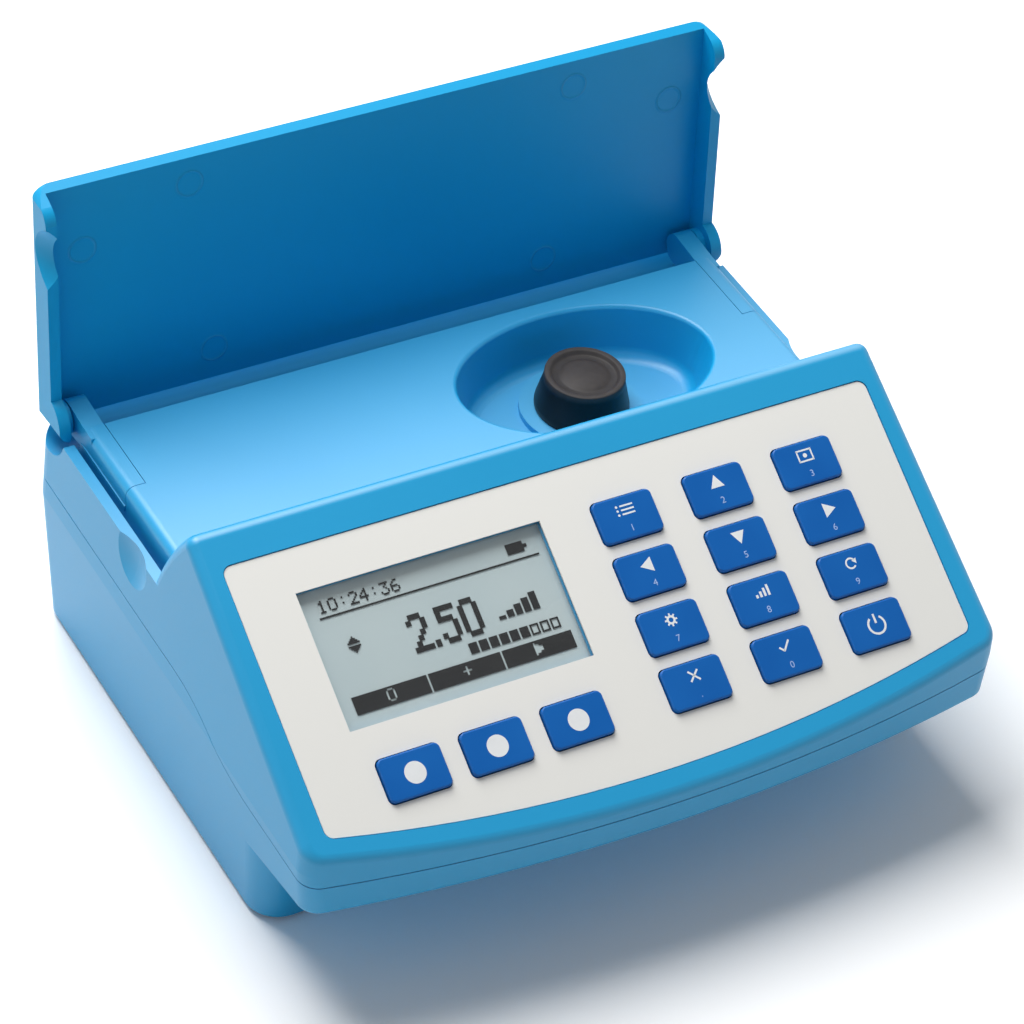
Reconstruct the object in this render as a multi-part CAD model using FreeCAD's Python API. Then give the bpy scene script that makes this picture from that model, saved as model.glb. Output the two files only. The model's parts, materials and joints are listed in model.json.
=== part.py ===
import FreeCAD, Part
import math, os

# Bench photometer: a wedge housing with a sloping key panel, a deck with an oval
# sample cup behind the ridge, and a lid hinged at the rear. Lengths in millimetres.
# +X is to the right of a user who faces the keys, +Y goes to the rear, +Z is up.
# The origin is on the table, in the middle of the footprint with the lid open.

V = FreeCAD.Vector

# Housing outline.
half_width_ground = 99.1      # half width of the base at the table
half_width_seam = 103.0       # widest level, where the side draft turns
half_width_top = 101.2        # half width at the top of the draft
widest_z = 46.0
draft_top_z = 98.0
floor_z = 1.0                 # underside of the base, above the feet
wall = 2.5
ridge_y = -4.2
ridge_z = 97.3
panel_tilt = 30.43            # degrees from horizontal
front_mid_y = -91.0           # foremost point of the curved chin
front_bow = 10.8              # how far the chin bows forward of its corners
chin_corner_radius = 6.0
toe_y = -52.4                 # foot of the base under the chin
toe_lean = 2.0
toe_z = 28.0                  # where the chin underside starts
chin_slope = 0.18             # rise of the chin underside per millimetre forward
toe_corner_radius = 9.0
rear_y = 84.4
rear_corner_radius = 8.0
panel_edge_radius = 3.0
ridge_radius = 1.6
chin_lip_radius = 1.5
base_chamfer = 0.8

# Deck, lip and hinge trough.
deck_z = 76.5
lip_z = 70.3
deck_half = 96.8
deck_edge_radius = 2.6
channel_width = 2.2
channel_floor_z = 63.0
shoulder_drop = 3.0           # slant of the ceiling below the side channels
slope_foot_y = 11.4           # where the rear slope of the ridge meets the lip level
slope_bulge = 1.4
deck_roll = 1.8
axis_y = 76.6
axis_z = 72.4
trough_radius = 9.4
scoop_y = 23.5
scoop_radius = 19.0
scoop_depth = 2.0
scoop_drop = 2.5

# Lid.
lid_rise = 8.0                # outer face above the hinge axis when closed
lid_panel = 2.7
lid_depth = 9.6
lid_tail = 4.2                # how far the lid reaches behind its axis
lid_lobe_radius = 7.4
lid_front_gap = 0.7
lid_corner_radius = 6.0
lid_open_angle = 95.4
lid_side_gap = 0.2
grip_from_end = 17.0
grip_radius = 12.0
grip_depth = 3.0
grip_slope = 60.0
pin_radius = 1.5
pin_running_gap = 0.05
lid_boss_radius = 4.6
lid_boss_gap = 0.35
lid_nose_radius = 3.0
lid_tail_radius = 2.0
lid_edge_radius = 1.0

# Hinge brackets.
bracket_inner_x = 91.1
bracket_front_y = 39.7
bracket_depth = 8.0
bracket_gap = 0.2
arm_radius = 4.7
bracket_screw_from_front = 14.0
bracket_screw_bite = 4.0

# Sample cup, cell well and vial.
cup_x = 39.0
cup_y = 36.1
cup_a = 38.0
cup_b = 24.5
cup_floor_z = 61.5
cup_floor_a = 34.0
cup_floor_b = 20.8
cup_wall = 2.2
cup_floor_radius = 4.0
cup_rim_radius = 1.2
collar_radius = 17.3
collar_height = 1.7
vial_radius = 12.3
vial_gap = 0.6
vial_bottom_z = 12.4
vial_wall = 1.2
vial_height = 60.0
vial_neck_radius = 9.2
vial_neck_length = 14.0
vial_shoulder = 3.0
cap_top_radius = 12.0
cap_skirt_radius = 13.7
cap_height = 11.4
cap_skirt_height = 4.6
cap_flare = 3.0
cap_seat_gap = 0.3
cap_dish_radius = 9.6
cap_dish_depth = 0.9
sample_level = 44.0
well_wall = 3.0
well_floor = 3.0
well_seat_gap = 0.3
well_flange = 3.0
well_screw_rest = 0.8         # floor left under the screws of the cell well
port_radius = 3.0
optic_z = 30.0
snout_size = 15.0
snout_length = 8.0

# Key panel.
label_half = 95.4
label_top = 10.4
label_corner = 84.0           # distance down the slope of the lower label corners
label_bow = 10.2
label_radius = 2.5
label_gap = 0.25
recess_depth = 0.8
label_thickness = 0.5
screen_left = -79.3
screen_right = -9.0
screen_top = 22.05
screen_bottom = 60.1
key_width = 17.6
key_length = 11.8
key_radius = 1.6
key_edge_radius = 0.5
key_gap = 0.35
key_stand = 0.9               # key top above the rim of the panel
key_flange = 0.9
key_flange_height = 0.8
key_rest_gap = 0.3
key_travel = 0.8
pad_x = 14.46
pad_w = 28.04
pad_pitch_x = 27.52
pad_pitch_w = 15.77
soft_x = -67.43
soft_pitch = 23.46
soft_w = 75.1
mat_thickness = 0.8
dome_height = 1.2
dome_radius = 3.6
board_thickness = 1.6
window_thickness = 1.0
window_lip = 2.0
window_gap = 0.1
module_thickness = 4.2
module_margin = 4.0
module_gap = 0.4
ear_half = 3.0
ear_from_end = 4.0
ear_thickness = 1.6
module_screw_length = 3.0
panel_boss_radius = 2.4
boss_clearance = 0.4
mat_margin = 2.0
panel_screw_length = 5.0
small_screw_radius = 1.1
small_head_radius = 2.0
small_head_height = 1.4

# Seam, screws and feet.
seam_rear_z = 51.6
seam_front_z = 42.2
seam_bend_rear_y = -4.0
seam_bend_front_y = -48.0
seam_gap = 0.35
tongue_height = 2.0
tongue_wall = 1.1
tongue_gap = 0.15
screw_x = 90.0
screw_rear_y = 68.0
screw_front_y = -40.0
screw_radius = 1.5
screw_head_radius = 2.9
screw_head_height = 2.2
boss_radius = 4.2
boss_seat_z = 30.0
boss_seat = 3.0
screw_length = 18.0
screw_clearance = 0.2
foot_x = 76.0
foot_rear_y = 70.0
foot_front_y = -36.0
foot_radius = 6.5
foot_pocket = 1.2
foot_gap = 0.1

# Battery bay.
bay_x = -36.0
bay_y = -2.0
cell_radius = 7.1
cell_length = 50.0
cell_pitch = 14.8
cell_count = 4
bay_margin = 1.0
bay_wall = 2.0
door_thickness = 2.0
door_gap = 0.3
door_lip = 2.0
contact_thickness = 0.6
contact_gap = 2.2

# Boards.
board_left = -70.0
board_right = 8.0
board_front_y = 33.0
board_rear_y = 79.0
board_z = 28.0
board_post_radius = 3.2
board_inset = 4.0
usb_x = -42.0
usb_width = 7.8
usb_height = 3.4
usb_length = 9.0
usb_margin = 0.6

side_reach = 140.0            # half length of the cutting blocks


def outline(plane, start, steps):
    # A closed wire: each step is (end,) for a line or (middle, end) for an arc.
    edges, here = [], start
    for step in list(steps) + [(start,)]:
        if len(step) == 1:
            if math.dist(here, step[0]) > 1e-6:
                edges.append(Part.LineSegment(plane(here), plane(step[0])).toShape())
        else:
            edges.append(Part.Arc(plane(here), plane(step[0]), plane(step[1])).toShape())
        here = step[-1]
    return Part.Wire(edges)


def along_x(wire, low, high):
    face = Part.Face(wire)
    face.translate(V(low, 0, 0))
    return face.extrude(V(high - low, 0, 0))


def along_y(wire, low, high):
    face = Part.Face(wire)
    face.translate(V(0, low, 0))
    return face.extrude(V(0, high - low, 0))


def yz(p):
    return V(0, p[0], p[1])


def xz(p):
    return V(p[0], 0, p[1])


def xy(p):
    return V(p[0], p[1], 0)


def block(x0, x1, y0, y1, z0, z1):
    return Part.makeBox(x1 - x0, y1 - y0, z1 - z0, V(x0, y0, z0))


def post(x, y, z0, z1, radius):
    return Part.makeCylinder(radius, z1 - z0, V(x, y, z0), V(0, 0, 1))


def mirror_x(shape):
    return shape.mirror(V(0, 0, 0), V(1, 0, 0))


def join(shapes):
    shapes = list(shapes)
    return shapes[0].multiFuse(shapes[1:]).removeSplitter() if len(shapes) > 1 else shapes[0]


def edges_where(shape, test):
    return [e for e in shape.Edges if test(e)]


def rounded_slab(x0, x1, y0, y1, z0, z1, radius):
    slab = block(x0, x1, y0, y1, z0, z1)
    upright = edges_where(slab, lambda e: abs(e.BoundBox.ZLength - (z1 - z0)) < 1e-6
                          and e.BoundBox.XLength < 1e-6 and e.BoundBox.YLength < 1e-6)
    return slab.makeFillet(radius, upright)


# Panel frame: x across, y up the slope from the ridge, z out of the panel.
tilt = math.radians(panel_tilt)
panel_place = FreeCAD.Placement(V(0, ridge_y, ridge_z), FreeCAD.Rotation(V(1, 0, 0), panel_tilt))


def on_panel(shape):
    placed = shape.copy()
    placed.Placement = panel_place.multiply(placed.Placement)
    return placed


# The rear slope of the ridge is one arc.
def slope_middle():
    dy, dz = slope_foot_y - ridge_y, lip_z - ridge_z
    length = math.hypot(dy, dz)
    return ((ridge_y + slope_foot_y) / 2 - dz / length * slope_bulge,
            (ridge_z + lip_z) / 2 + dy / length * slope_bulge)


def slope_circle():
    (ax, ay), (bx, by), (cx, cy) = (ridge_y, ridge_z), slope_middle(), (slope_foot_y, lip_z)
    d = 2 * (ax * (by - cy) + bx * (cy - ay) + cx * (ay - by))
    ux = ((ax**2 + ay**2) * (by - cy) + (bx**2 + by**2) * (cy - ay) + (cx**2 + cy**2) * (ay - by)) / d
    uy = ((ax**2 + ay**2) * (cx - bx) + (bx**2 + by**2) * (ax - cx) + (cx**2 + cy**2) * (bx - ax)) / d
    return ux, uy, math.hypot(ax - ux, ay - uy)


def slope_y(z):
    cy, cz, r = slope_circle()
    return cy + math.sqrt(r * r - (z - cz) ** 2)


def trough_y(z, side):
    return axis_y + side * math.sqrt(trough_radius ** 2 - (z - axis_z) ** 2)


def profile(top_z, roll):
    # Side outline of the housing; top_z is the level behind the ridge.
    rear_top_z = axis_z - math.sqrt(trough_radius ** 2 - (rear_y - axis_y) ** 2)
    reach_y = front_mid_y - 10
    start = (toe_y, floor_z)
    mid_z = (ridge_z + top_z) / 2
    rise = math.degrees(math.asin((top_z - roll - axis_z) / trough_radius))
    dip = math.degrees(math.asin((rear_top_z - axis_z) / trough_radius))
    half = math.radians((180 - rise + 360 + dip) / 2)
    steps = [((rear_y, floor_z),), ((rear_y, rear_top_z),),
             ((axis_y + trough_radius * math.cos(half), axis_z + trough_radius * math.sin(half)),
              (trough_y(top_z - roll, -1), top_z - roll))]
    if roll > 0:
        steps.append(((trough_y(top_z - roll, -1) - roll, top_z),))
    steps += [((slope_y(top_z), top_z),), ((slope_y(mid_z), mid_z), (ridge_y, ridge_z)),
              ((reach_y, ridge_z - (ridge_y - reach_y) * math.tan(tilt)),),
              ((reach_y, toe_z + (toe_y - toe_lean - reach_y) * chin_slope),),
              ((toe_y - toe_lean, toe_z),)]
    return outline(yz, start, steps)


def section(inset):
    # Front view outline: the sides lean out up to the widest level, then in.
    def half(z):
        if z < widest_z:
            return half_width_seam - (half_width_seam - half_width_ground) * (widest_z - z) / widest_z
        return half_width_seam - (half_width_seam - half_width_top) * (z - widest_z) / (draft_top_z - widest_z)
    levels = [-10.0, widest_z, draft_top_z + 10]
    right = [(half(z) - inset, z) for z in levels]
    left = [(-x, z) for x, z in reversed(right)]
    return outline(xz, right[0], [(p,) for p in right[1:] + left])


def bowed_front(inset):
    # Everything behind the bowed face of the chin.
    half = half_width_seam
    radius = (half ** 2 + front_bow ** 2) / (2 * front_bow)
    return Part.makeCylinder(radius - inset, 160, V(0, front_mid_y + radius, -10), V(0, 0, 1))


def housing_outline():
    core = along_x(profile(deck_z, deck_roll), -deck_half, deck_half)
    side_r = along_x(profile(lip_z, 0), deck_half, side_reach)
    side_l = along_x(profile(lip_z, 0), -side_reach, -deck_half)
    body = join([core, side_r, side_l])
    body = body.common(along_y(section(0), -side_reach, side_reach)).common(bowed_front(0))
    return body.removeSplitter().Solids[0]


def span(e):
    b = e.BoundBox
    return b.XMin, b.XMax, b.YMin, b.YMax, b.ZMin, b.ZMax


def near(a, b, slack=0.06):
    return abs(a - b) < slack


def on_panel_plane(e):
    return all(abs(v.Point.z - ridge_z - (v.Point.y - ridge_y) * math.tan(tilt)) < 0.02 for v in e.Vertexes)


def on_ridge(e):
    return near(span(e)[2], ridge_y) and near(span(e)[3], ridge_y)


def upright_corners(body, y, radius):
    # Rounds the upright edges that lie on the plane at y.
    picked = edges_where(body, lambda e: near(span(e)[2], y) and near(span(e)[3], y)
                         and e.BoundBox.ZLength > 4 and e.BoundBox.XLength < 6)
    return body.makeFillet(radius, picked).Solids[0]


def toe_corners(body, low, high, radius):
    picked = edges_where(body, lambda e: near(span(e)[4], low) and near(span(e)[5], high, 1.5)
                         and e.BoundBox.YMax < toe_y + 8 and e.BoundBox.XLength < 4)
    return body.makeFillet(radius, picked).Solids[0]


def chin_corners(body, radius):
    picked = edges_where(body, lambda e: e.BoundBox.YMax < front_mid_y + front_bow + 4
                         and e.BoundBox.XLength < 3 and e.BoundBox.ZLength > 1
                         and abs(e.BoundBox.XMax + e.BoundBox.XMin) > 180)
    return body.makeFillet(radius, picked).Solids[0]


def housing_solid():
    body = housing_outline()
    body = upright_corners(body, rear_y, rear_corner_radius)
    body = toe_corners(body, floor_z, toe_z, toe_corner_radius)
    body = chin_corners(body, chin_corner_radius)
    ring = edges_where(body, lambda e: on_panel_plane(e) or (near(span(e)[2], ridge_y)
                                                             and near(span(e)[3], slope_foot_y)))
    body = body.makeFillet(panel_edge_radius, ring).Solids[0]
    lip = edges_where(body, lambda e: e.BoundBox.YMax < toe_y - 1 and e.BoundBox.ZMax < 36
                      and e.BoundBox.ZMin > toe_z - 0.5
                      and (e.BoundBox.XLength < 3 or e.BoundBox.YMax < toe_y - 10))
    body = body.makeFillet(chin_lip_radius, lip).Solids[0]
    foot_ring = edges_where(body, lambda e: near(span(e)[5], floor_z))
    body = body.makeChamfer(base_chamfer, foot_ring).Solids[0]
    deck_edges = edges_where(body, lambda e: near(abs(e.BoundBox.XMin), deck_half) and e.BoundBox.XLength < 0.01
                             and e.BoundBox.ZMin > lip_z + 1 and e.BoundBox.YMax > slope_foot_y + 1)
    return body.makeFillet(deck_edge_radius, deck_edges).Solids[0]


def seam_block(shift, top):
    # Everything under (or over) the stepped parting line between base and top shell.
    dy, dz = seam_bend_rear_y - seam_bend_front_y, seam_rear_z - seam_front_z
    r = (dy * dy + dz * dz) / (4 * dz)
    sweep = math.asin(dy / 2 / r)
    drop, run = r - r * math.cos(sweep / 2), r * math.sin(sweep / 2)
    high, low = seam_rear_z + shift, seam_front_z + shift
    far = side_reach if top else -side_reach
    steps = [((seam_bend_rear_y, high),),
             ((seam_bend_rear_y - run, high - drop), (seam_bend_rear_y - dy / 2, (high + low) / 2)),
             ((seam_bend_front_y + run, low + drop), (seam_bend_front_y, low)),
             ((-side_reach, low),), ((-side_reach, far),), ((side_reach, far),)]
    return along_x(outline(yz, (side_reach, high), steps), -side_reach, side_reach)


def cavity(inset):
    # The space inside the housing, at the given distance from its faces.
    # Behind the ridge it narrows under the side channels and the hinge brackets.
    inner = Part.Wire(profile(deck_z, deck_roll).Edges).makeOffset2D(-inset)
    whole = along_x(inner, -side_reach, side_reach)
    shoulder_z = channel_floor_z - wall
    waist = bracket_inner_x - wall
    right = [(side_half(-10.0) - inset, -10.0), (half_width_seam - inset, widest_z),
             (side_half(shoulder_z - shoulder_drop) - inset, shoulder_z - shoulder_drop), (waist, shoulder_z),
             (waist, side_reach)]
    cut = outline(xz, right[0], [(p,) for p in right[1:] + [(-x, z) for x, z in reversed(right)]])
    ahead = block(-side_reach, side_reach, -side_reach, slope_y(deck_z) - inset, -side_reach, side_reach)
    front = whole.common(along_y(section(inset), -side_reach, side_reach)).common(ahead)
    space = whole.common(along_y(cut, -side_reach, side_reach)).fuse(front)
    space = space.common(bowed_front(inset)).removeSplitter().Solids[0]
    space = upright_corners(space, rear_y - inset, rear_corner_radius - inset)
    space = toe_corners(space, floor_z + inset, toe_z, toe_corner_radius - inset)
    return chin_corners(space, chin_corner_radius - inset)


def ellipse(a, b, z):
    return Part.Wire(Part.Ellipse(V(cup_x, cup_y, z), a, b).toShape())


def cup_hollow():
    bowl = Part.makeLoft([ellipse(cup_a, cup_b, deck_z), ellipse(cup_floor_a, cup_floor_b, cup_floor_z)], True, True)
    rim = edges_where(bowl, lambda e: near(span(e)[4], cup_floor_z) and near(span(e)[5], cup_floor_z))
    bowl = bowl.makeFillet(cup_floor_radius, rim)
    above = Part.Face(ellipse(cup_a, cup_b, deck_z)).extrude(V(0, 0, 8))
    return bowl.fuse(above)


def cup_wall_block():
    return Part.makeLoft([ellipse(cup_a + cup_wall, cup_b + cup_wall, deck_z - 1.0),
                          ellipse(cup_floor_a + cup_wall, cup_floor_b + cup_wall, cup_floor_z - cup_wall)],
                         True, True)


# Key panel.
def label_outline(grow, z0, z1):
    half, top, low = label_half + grow, -label_top + grow, -label_corner - grow
    wire = outline(xy, (-half, top), [((half, top),), ((half, low),), ((0, low - label_bow), (-half, low))])
    slab = Part.Face(wire).extrude(V(0, 0, z1 - z0))
    corners = edges_where(slab, lambda e: e.BoundBox.XLength < 0.01 and e.BoundBox.YLength < 0.01)
    slab = slab.makeFillet(label_radius + grow, corners)
    slab.translate(V(0, 0, z0))
    return slab


def key_centres():
    pad = [(pad_x + i * pad_pitch_x, -pad_w - j * pad_pitch_w) for j in range(4) for i in range(3)]
    return pad + [(soft_x + i * soft_pitch, -soft_w) for i in range(3)]


def key_prism(centre, grow, z0, z1, radius):
    x, y = centre
    return rounded_slab(x - key_width / 2 - grow, x + key_width / 2 + grow,
                        y - key_length / 2 - grow, y + key_length / 2 + grow, z0, z1, radius)


panel_wall_z = -wall
key_foot_z = panel_wall_z - key_rest_gap - key_flange_height
dome_top_z = key_foot_z - key_travel - key_rest_gap
mat_z = dome_top_z - dome_height - mat_thickness
board_top_z = mat_z


def key(centre):
    top = key_prism(centre, 0, key_foot_z, key_stand, key_radius)
    rim = edges_where(top, lambda e: near(span(e)[4], key_stand) and near(span(e)[5], key_stand))
    top = top.makeFillet(key_edge_radius, rim)
    flange = key_prism(centre, key_flange, key_foot_z, key_foot_z + key_flange_height, key_radius)
    return on_panel(top.fuse(flange).removeSplitter())


def screen_block(grow, z0, z1):
    return block(screen_left - grow, screen_right + grow, -screen_bottom - grow, -screen_top + grow, z0, z1)


def mat_outline(grow, z0, z1):
    # One sheet under both groups of keys.
    edge = key_flange + mat_margin + grow
    x1 = pad_x + 2 * pad_pitch_x + key_width / 2 + edge
    x0 = pad_x - key_width / 2 - edge
    top = -pad_w + key_length / 2 + edge
    low = -pad_w - 3 * pad_pitch_w - key_length / 2 - edge
    left = panel_bosses()[-2][0] - panel_boss_radius - mat_margin - grow
    soft_top = -soft_w + key_length / 2 + edge
    return join([block(x0, x1, low, top, z0, z1), block(left, x0 + 1, low, soft_top, z0, z1)])


def panel_bosses():
    xs = [pad_x + pad_pitch_x / 2, pad_x + 3 * pad_pitch_x / 2]
    ys = [-pad_w - pad_pitch_w / 2, -pad_w - 5 * pad_pitch_w / 2]
    reach = key_width / 2 + key_flange + panel_boss_radius + boss_clearance
    softs = [(soft_x - reach, -soft_w), (soft_x + 2 * soft_pitch + reach, -soft_w)]
    return [(x, y) for x in xs for y in ys] + softs


def panel_cuts():
    cuts = [label_outline(label_gap, -recess_depth, 20)]
    cuts += [key_prism(c, key_gap, -20, 5, key_radius + key_gap) for c in key_centres()]
    cuts.append(screen_block(-0.0, -20, 5))
    cuts.append(screen_block(window_lip + window_gap, -recess_depth - window_thickness - window_gap, 5))
    return [on_panel(c) for c in cuts]


def panel_overlay():
    z0 = -recess_depth
    sheet = label_outline(0, z0, z0 + label_thickness)
    for c in key_centres():
        sheet = sheet.cut(key_prism(c, key_gap, -5, 5, key_radius + key_gap))
    return on_panel(sheet.cut(screen_block(0, -5, 5)))


def display_window():
    top = -recess_depth - window_gap
    return on_panel(screen_block(window_lip, top - window_thickness + window_gap, top))


def display_module():
    front = panel_wall_z - module_gap
    frame = screen_block(module_margin, front - module_thickness, front)
    frame = frame.cut(screen_block(1.5, front - 1.0, front))
    glass = screen_block(1.2, front - 1.0, front - 0.2)
    ears = [block(x - ear_half - 0.5, x + ear_half + 0.5, y - ear_half, y + ear_half, front - ear_thickness, front)
            for x, y in module_ears()]
    body = join([frame, glass] + ears)
    for x, y in module_ears():
        body = body.cut(post(x, y, front - 5, front + 5, small_screw_radius + screw_clearance))
    return on_panel(body)


def module_ears():
    y0, y1 = -screen_top - ear_from_end, -screen_bottom + ear_from_end
    reach = module_margin + panel_boss_radius + 0.2
    return [(x, y) for x in (screen_left - reach, screen_right + reach) for y in (y0, y1)]


def key_mat():
    sheet = mat_outline(0, mat_z, mat_z + mat_thickness)
    domes = []
    for x, y in key_centres():
        cone = Part.makeCone(dome_radius, dome_radius * 0.6, dome_height, V(x, y, mat_z + mat_thickness), V(0, 0, 1))
        domes.append(cone)
    sheet = join([sheet] + domes)
    for x, y in panel_bosses():
        sheet = sheet.cut(post(x, y, mat_z - 1, mat_z + 5, panel_boss_radius + boss_clearance))
    return on_panel(sheet)


def key_board():
    sheet = mat_outline(0, mat_z - board_thickness, mat_z)
    for x, y in panel_bosses():
        sheet = sheet.cut(post(x, y, mat_z - 5, mat_z + 5, small_screw_radius + screw_clearance))
    return on_panel(sheet)


def small_screw(x, y, head_top, length):
    # Screw driven up (towards +z) with its head below head_top.
    shank = post(x, y, head_top, head_top + length, small_screw_radius)
    head = post(x, y, head_top - small_head_height, head_top, small_head_radius)
    slot = block(x - 0.3, x + 0.3, y - 3, y + 3, head_top - small_head_height - 1,
                 head_top - small_head_height * 0.6)
    return shank.fuse(head).cut(slot)


def panel_screws():
    screws = [small_screw(x, y, mat_z - board_thickness, panel_screw_length) for x, y in panel_bosses()]
    front = panel_wall_z - module_gap - ear_thickness
    screws += [small_screw(x, y, front, module_screw_length) for x, y in module_ears()]
    return Part.makeCompound([on_panel(s) for s in screws])


def panel_boss_solids():
    bosses = []
    for x, y in panel_bosses():
        tube = post(x, y, board_top_z, panel_wall_z + 0.5, panel_boss_radius)
        bosses.append(tube)
    for x, y in module_ears():
        bosses.append(post(x, y, panel_wall_z - module_gap, panel_wall_z + 0.5, panel_boss_radius))
    return [on_panel(b) for b in bosses]


def panel_boss_holes():
    holes = [post(x, y, board_top_z - 1, board_top_z + panel_screw_length, small_screw_radius)
             for x, y in panel_bosses()]
    front = panel_wall_z - module_gap - ear_thickness
    holes += [post(x, y, front, front + module_screw_length + 0.1, small_screw_radius)
              for x, y in module_ears()]
    return [on_panel(h) for h in holes]


# Shells.
def screw_points():
    return [(sx * screw_x, y) for sx in (-1, 1) for y in (screw_front_y, screw_rear_y)]


def foot_points():
    return [(sx * foot_x, y) for sx in (-1, 1) for y in (foot_front_y, foot_rear_y)]


bay_half_x = cell_count * cell_pitch / 2 + bay_margin
bay_half_y = cell_length / 2 + contact_gap
door_top_z = floor_z + door_thickness
bay_ceiling_z = door_top_z + 2 * cell_radius + 2 * bay_margin
ear_reach = 8.0


def door_outline(gap, z0, z1):
    hx, hy = bay_half_x + door_lip - gap, bay_half_y + door_lip - gap
    plate = rounded_slab(bay_x - hx, bay_x + hx, bay_y - hy, bay_y + hy, z0, z1, 2.0)
    ears = [rounded_slab(bay_x - 7 + gap, bay_x + 7 - gap, bay_y + s * hy - 2 - (ear_reach if s < 0 else 0),
                         bay_y + s * hy + 2 + (ear_reach if s > 0 else 0), z0, z1, 1.5) for s in (-1, 1)]
    return join([plate] + ears)


def door_screw_points():
    reach = bay_half_y + door_lip + ear_reach - 3.0
    return [(bay_x, bay_y - reach), (bay_x, bay_y + reach)]


def base_shell(body, space, wider):
    base = body.common(seam_block(0, False))
    tongue = wider.cut(space).common(seam_block(tongue_height, False)).common(seam_block(-1.0, True))
    base = base.cut(space)
    adds = [tongue]
    for x, y in screw_points():
        adds.append(post(x, y, floor_z + 0.5, boss_seat_z + boss_seat, boss_radius + 1.0))
    hx, hy = bay_half_x + bay_wall, bay_half_y + bay_wall
    adds.append(block(bay_x - hx, bay_x + hx, bay_y - hy, bay_y + hy, floor_z + 0.2, bay_ceiling_z + bay_wall))
    for x, y in door_screw_points():
        adds.append(post(x, y, floor_z + 0.5, door_top_z + 7.0, 4.0))
    for x, y in board_points():
        adds.append(post(x, y, floor_z + 0.5, board_z, board_post_radius))
    for x, y in foot_points():
        adds.append(post(x, y, floor_z + 0.5, floor_z + wall + 1.5, foot_radius + 1.6))
    base = join([base] + adds)
    cuts = []
    for x, y in screw_points():
        cuts.append(post(x, y, floor_z - 1, boss_seat_z, screw_head_radius + 0.5))
        cuts.append(post(x, y, floor_z, boss_seat_z + 20, screw_radius + screw_clearance))
    cuts.append(block(bay_x - bay_half_x, bay_x + bay_half_x, bay_y - bay_half_y, bay_y + bay_half_y,
                      floor_z - 1, bay_ceiling_z))
    cuts.append(door_outline(0, floor_z - 1, door_top_z))
    for x, y in door_screw_points():
        cuts.append(post(x, y, floor_z, door_top_z + 6.0, small_screw_radius))
    for x, y in board_points():
        cuts.append(post(x, y, board_z - 8, board_z + 1, small_screw_radius))
    for x, y in well_points():
        cuts.append(post(x, y, floor_z + well_screw_rest, floor_z + wall + 1, small_screw_radius))
    for x, y in foot_points():
        cuts.append(post(x, y, floor_z - 1, floor_z + foot_pocket, foot_radius + foot_gap))
    cuts.append(usb_cut())
    return base.cut(cuts).removeSplitter()


def top_shell(body, space, wider):
    top = body.common(seam_block(seam_gap, True)).cut(space)
    adds = [cup_wall_block(),
            post(cup_x, cup_y, cup_floor_z - cup_wall, cup_floor_z + collar_height, collar_radius)]
    adds += panel_boss_solids()
    under_panel = on_panel(block(-side_reach, side_reach, -side_reach, side_reach, -side_reach,
                                 panel_wall_z + 0.5))
    for x, y in screw_points():
        tower = post(x, y, boss_seat_z + boss_seat, roof_z(y), boss_radius)
        adds.append(tower.common(under_panel) if y < ridge_y else tower)
    top = join([top] + adds)
    hollow = cup_hollow().cut(post(cup_x, cup_y, cup_floor_z - 1, cup_floor_z + collar_height, collar_radius))
    cuts = [hollow, post(cup_x, cup_y, cup_floor_z - 10, deck_z + 1, vial_radius + vial_gap)]
    cuts += panel_cuts() + panel_boss_holes()
    cuts += [wider.common(seam_block(tongue_height + tongue_gap, False))]
    for x, y in screw_points():
        cuts.append(post(x, y, boss_seat_z, boss_seat_z + screw_length + 2, screw_radius))
    lip_in = deck_half + channel_width
    for s in (-1, 1):
        x0, x1 = (deck_half, lip_in) if s > 0 else (-lip_in, -deck_half)
        cuts.append(block(x0, x1, slope_foot_y + 1.5, axis_y, channel_floor_z, lip_z + 1))
        at = side_half(lip_z - scoop_drop) + scoop_radius - scoop_depth
        cuts.append(Part.makeSphere(scoop_radius, V(s * at, scoop_y, lip_z - scoop_drop)))
        cuts.append(bracket_space(s, 0))
        x, y = bracket_screw_point(s)
        cuts.append(post(x, y, channel_floor_z - wall - 1, deck_z, small_screw_radius + screw_clearance))
        cuts.append(post(x, y, channel_floor_z - wall - 2 * shoulder_drop, channel_floor_z - wall,
                         small_head_radius + 0.3))
    top = top.cut(cuts).removeSplitter().Solids[0]
    rim = edges_where(top, lambda e: near(span(e)[4], deck_z) and near(span(e)[5], deck_z)
                      and near(e.BoundBox.XLength, 2 * cup_a, 0.5))
    return top.makeFillet(cup_rim_radius, rim)


def side_half(z):
    if z < widest_z:
        return half_width_seam - (half_width_seam - half_width_ground) * (widest_z - z) / widest_z
    return half_width_seam - (half_width_seam - half_width_top) * (z - widest_z) / (draft_top_z - widest_z)


def roof_z(y):
    # Height that the tower of a housing screw reaches before it is trimmed.
    return ridge_z if y < ridge_y else channel_floor_z


def bracket_space(side, gap):
    x0, x1 = bracket_inner_x + gap, deck_half + 0.5 - gap
    if side < 0:
        x0, x1 = -x1, -x0
    return block(x0, x1, bracket_front_y + gap, axis_y + 3, deck_z - bracket_depth + gap, deck_z + 20)


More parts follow.
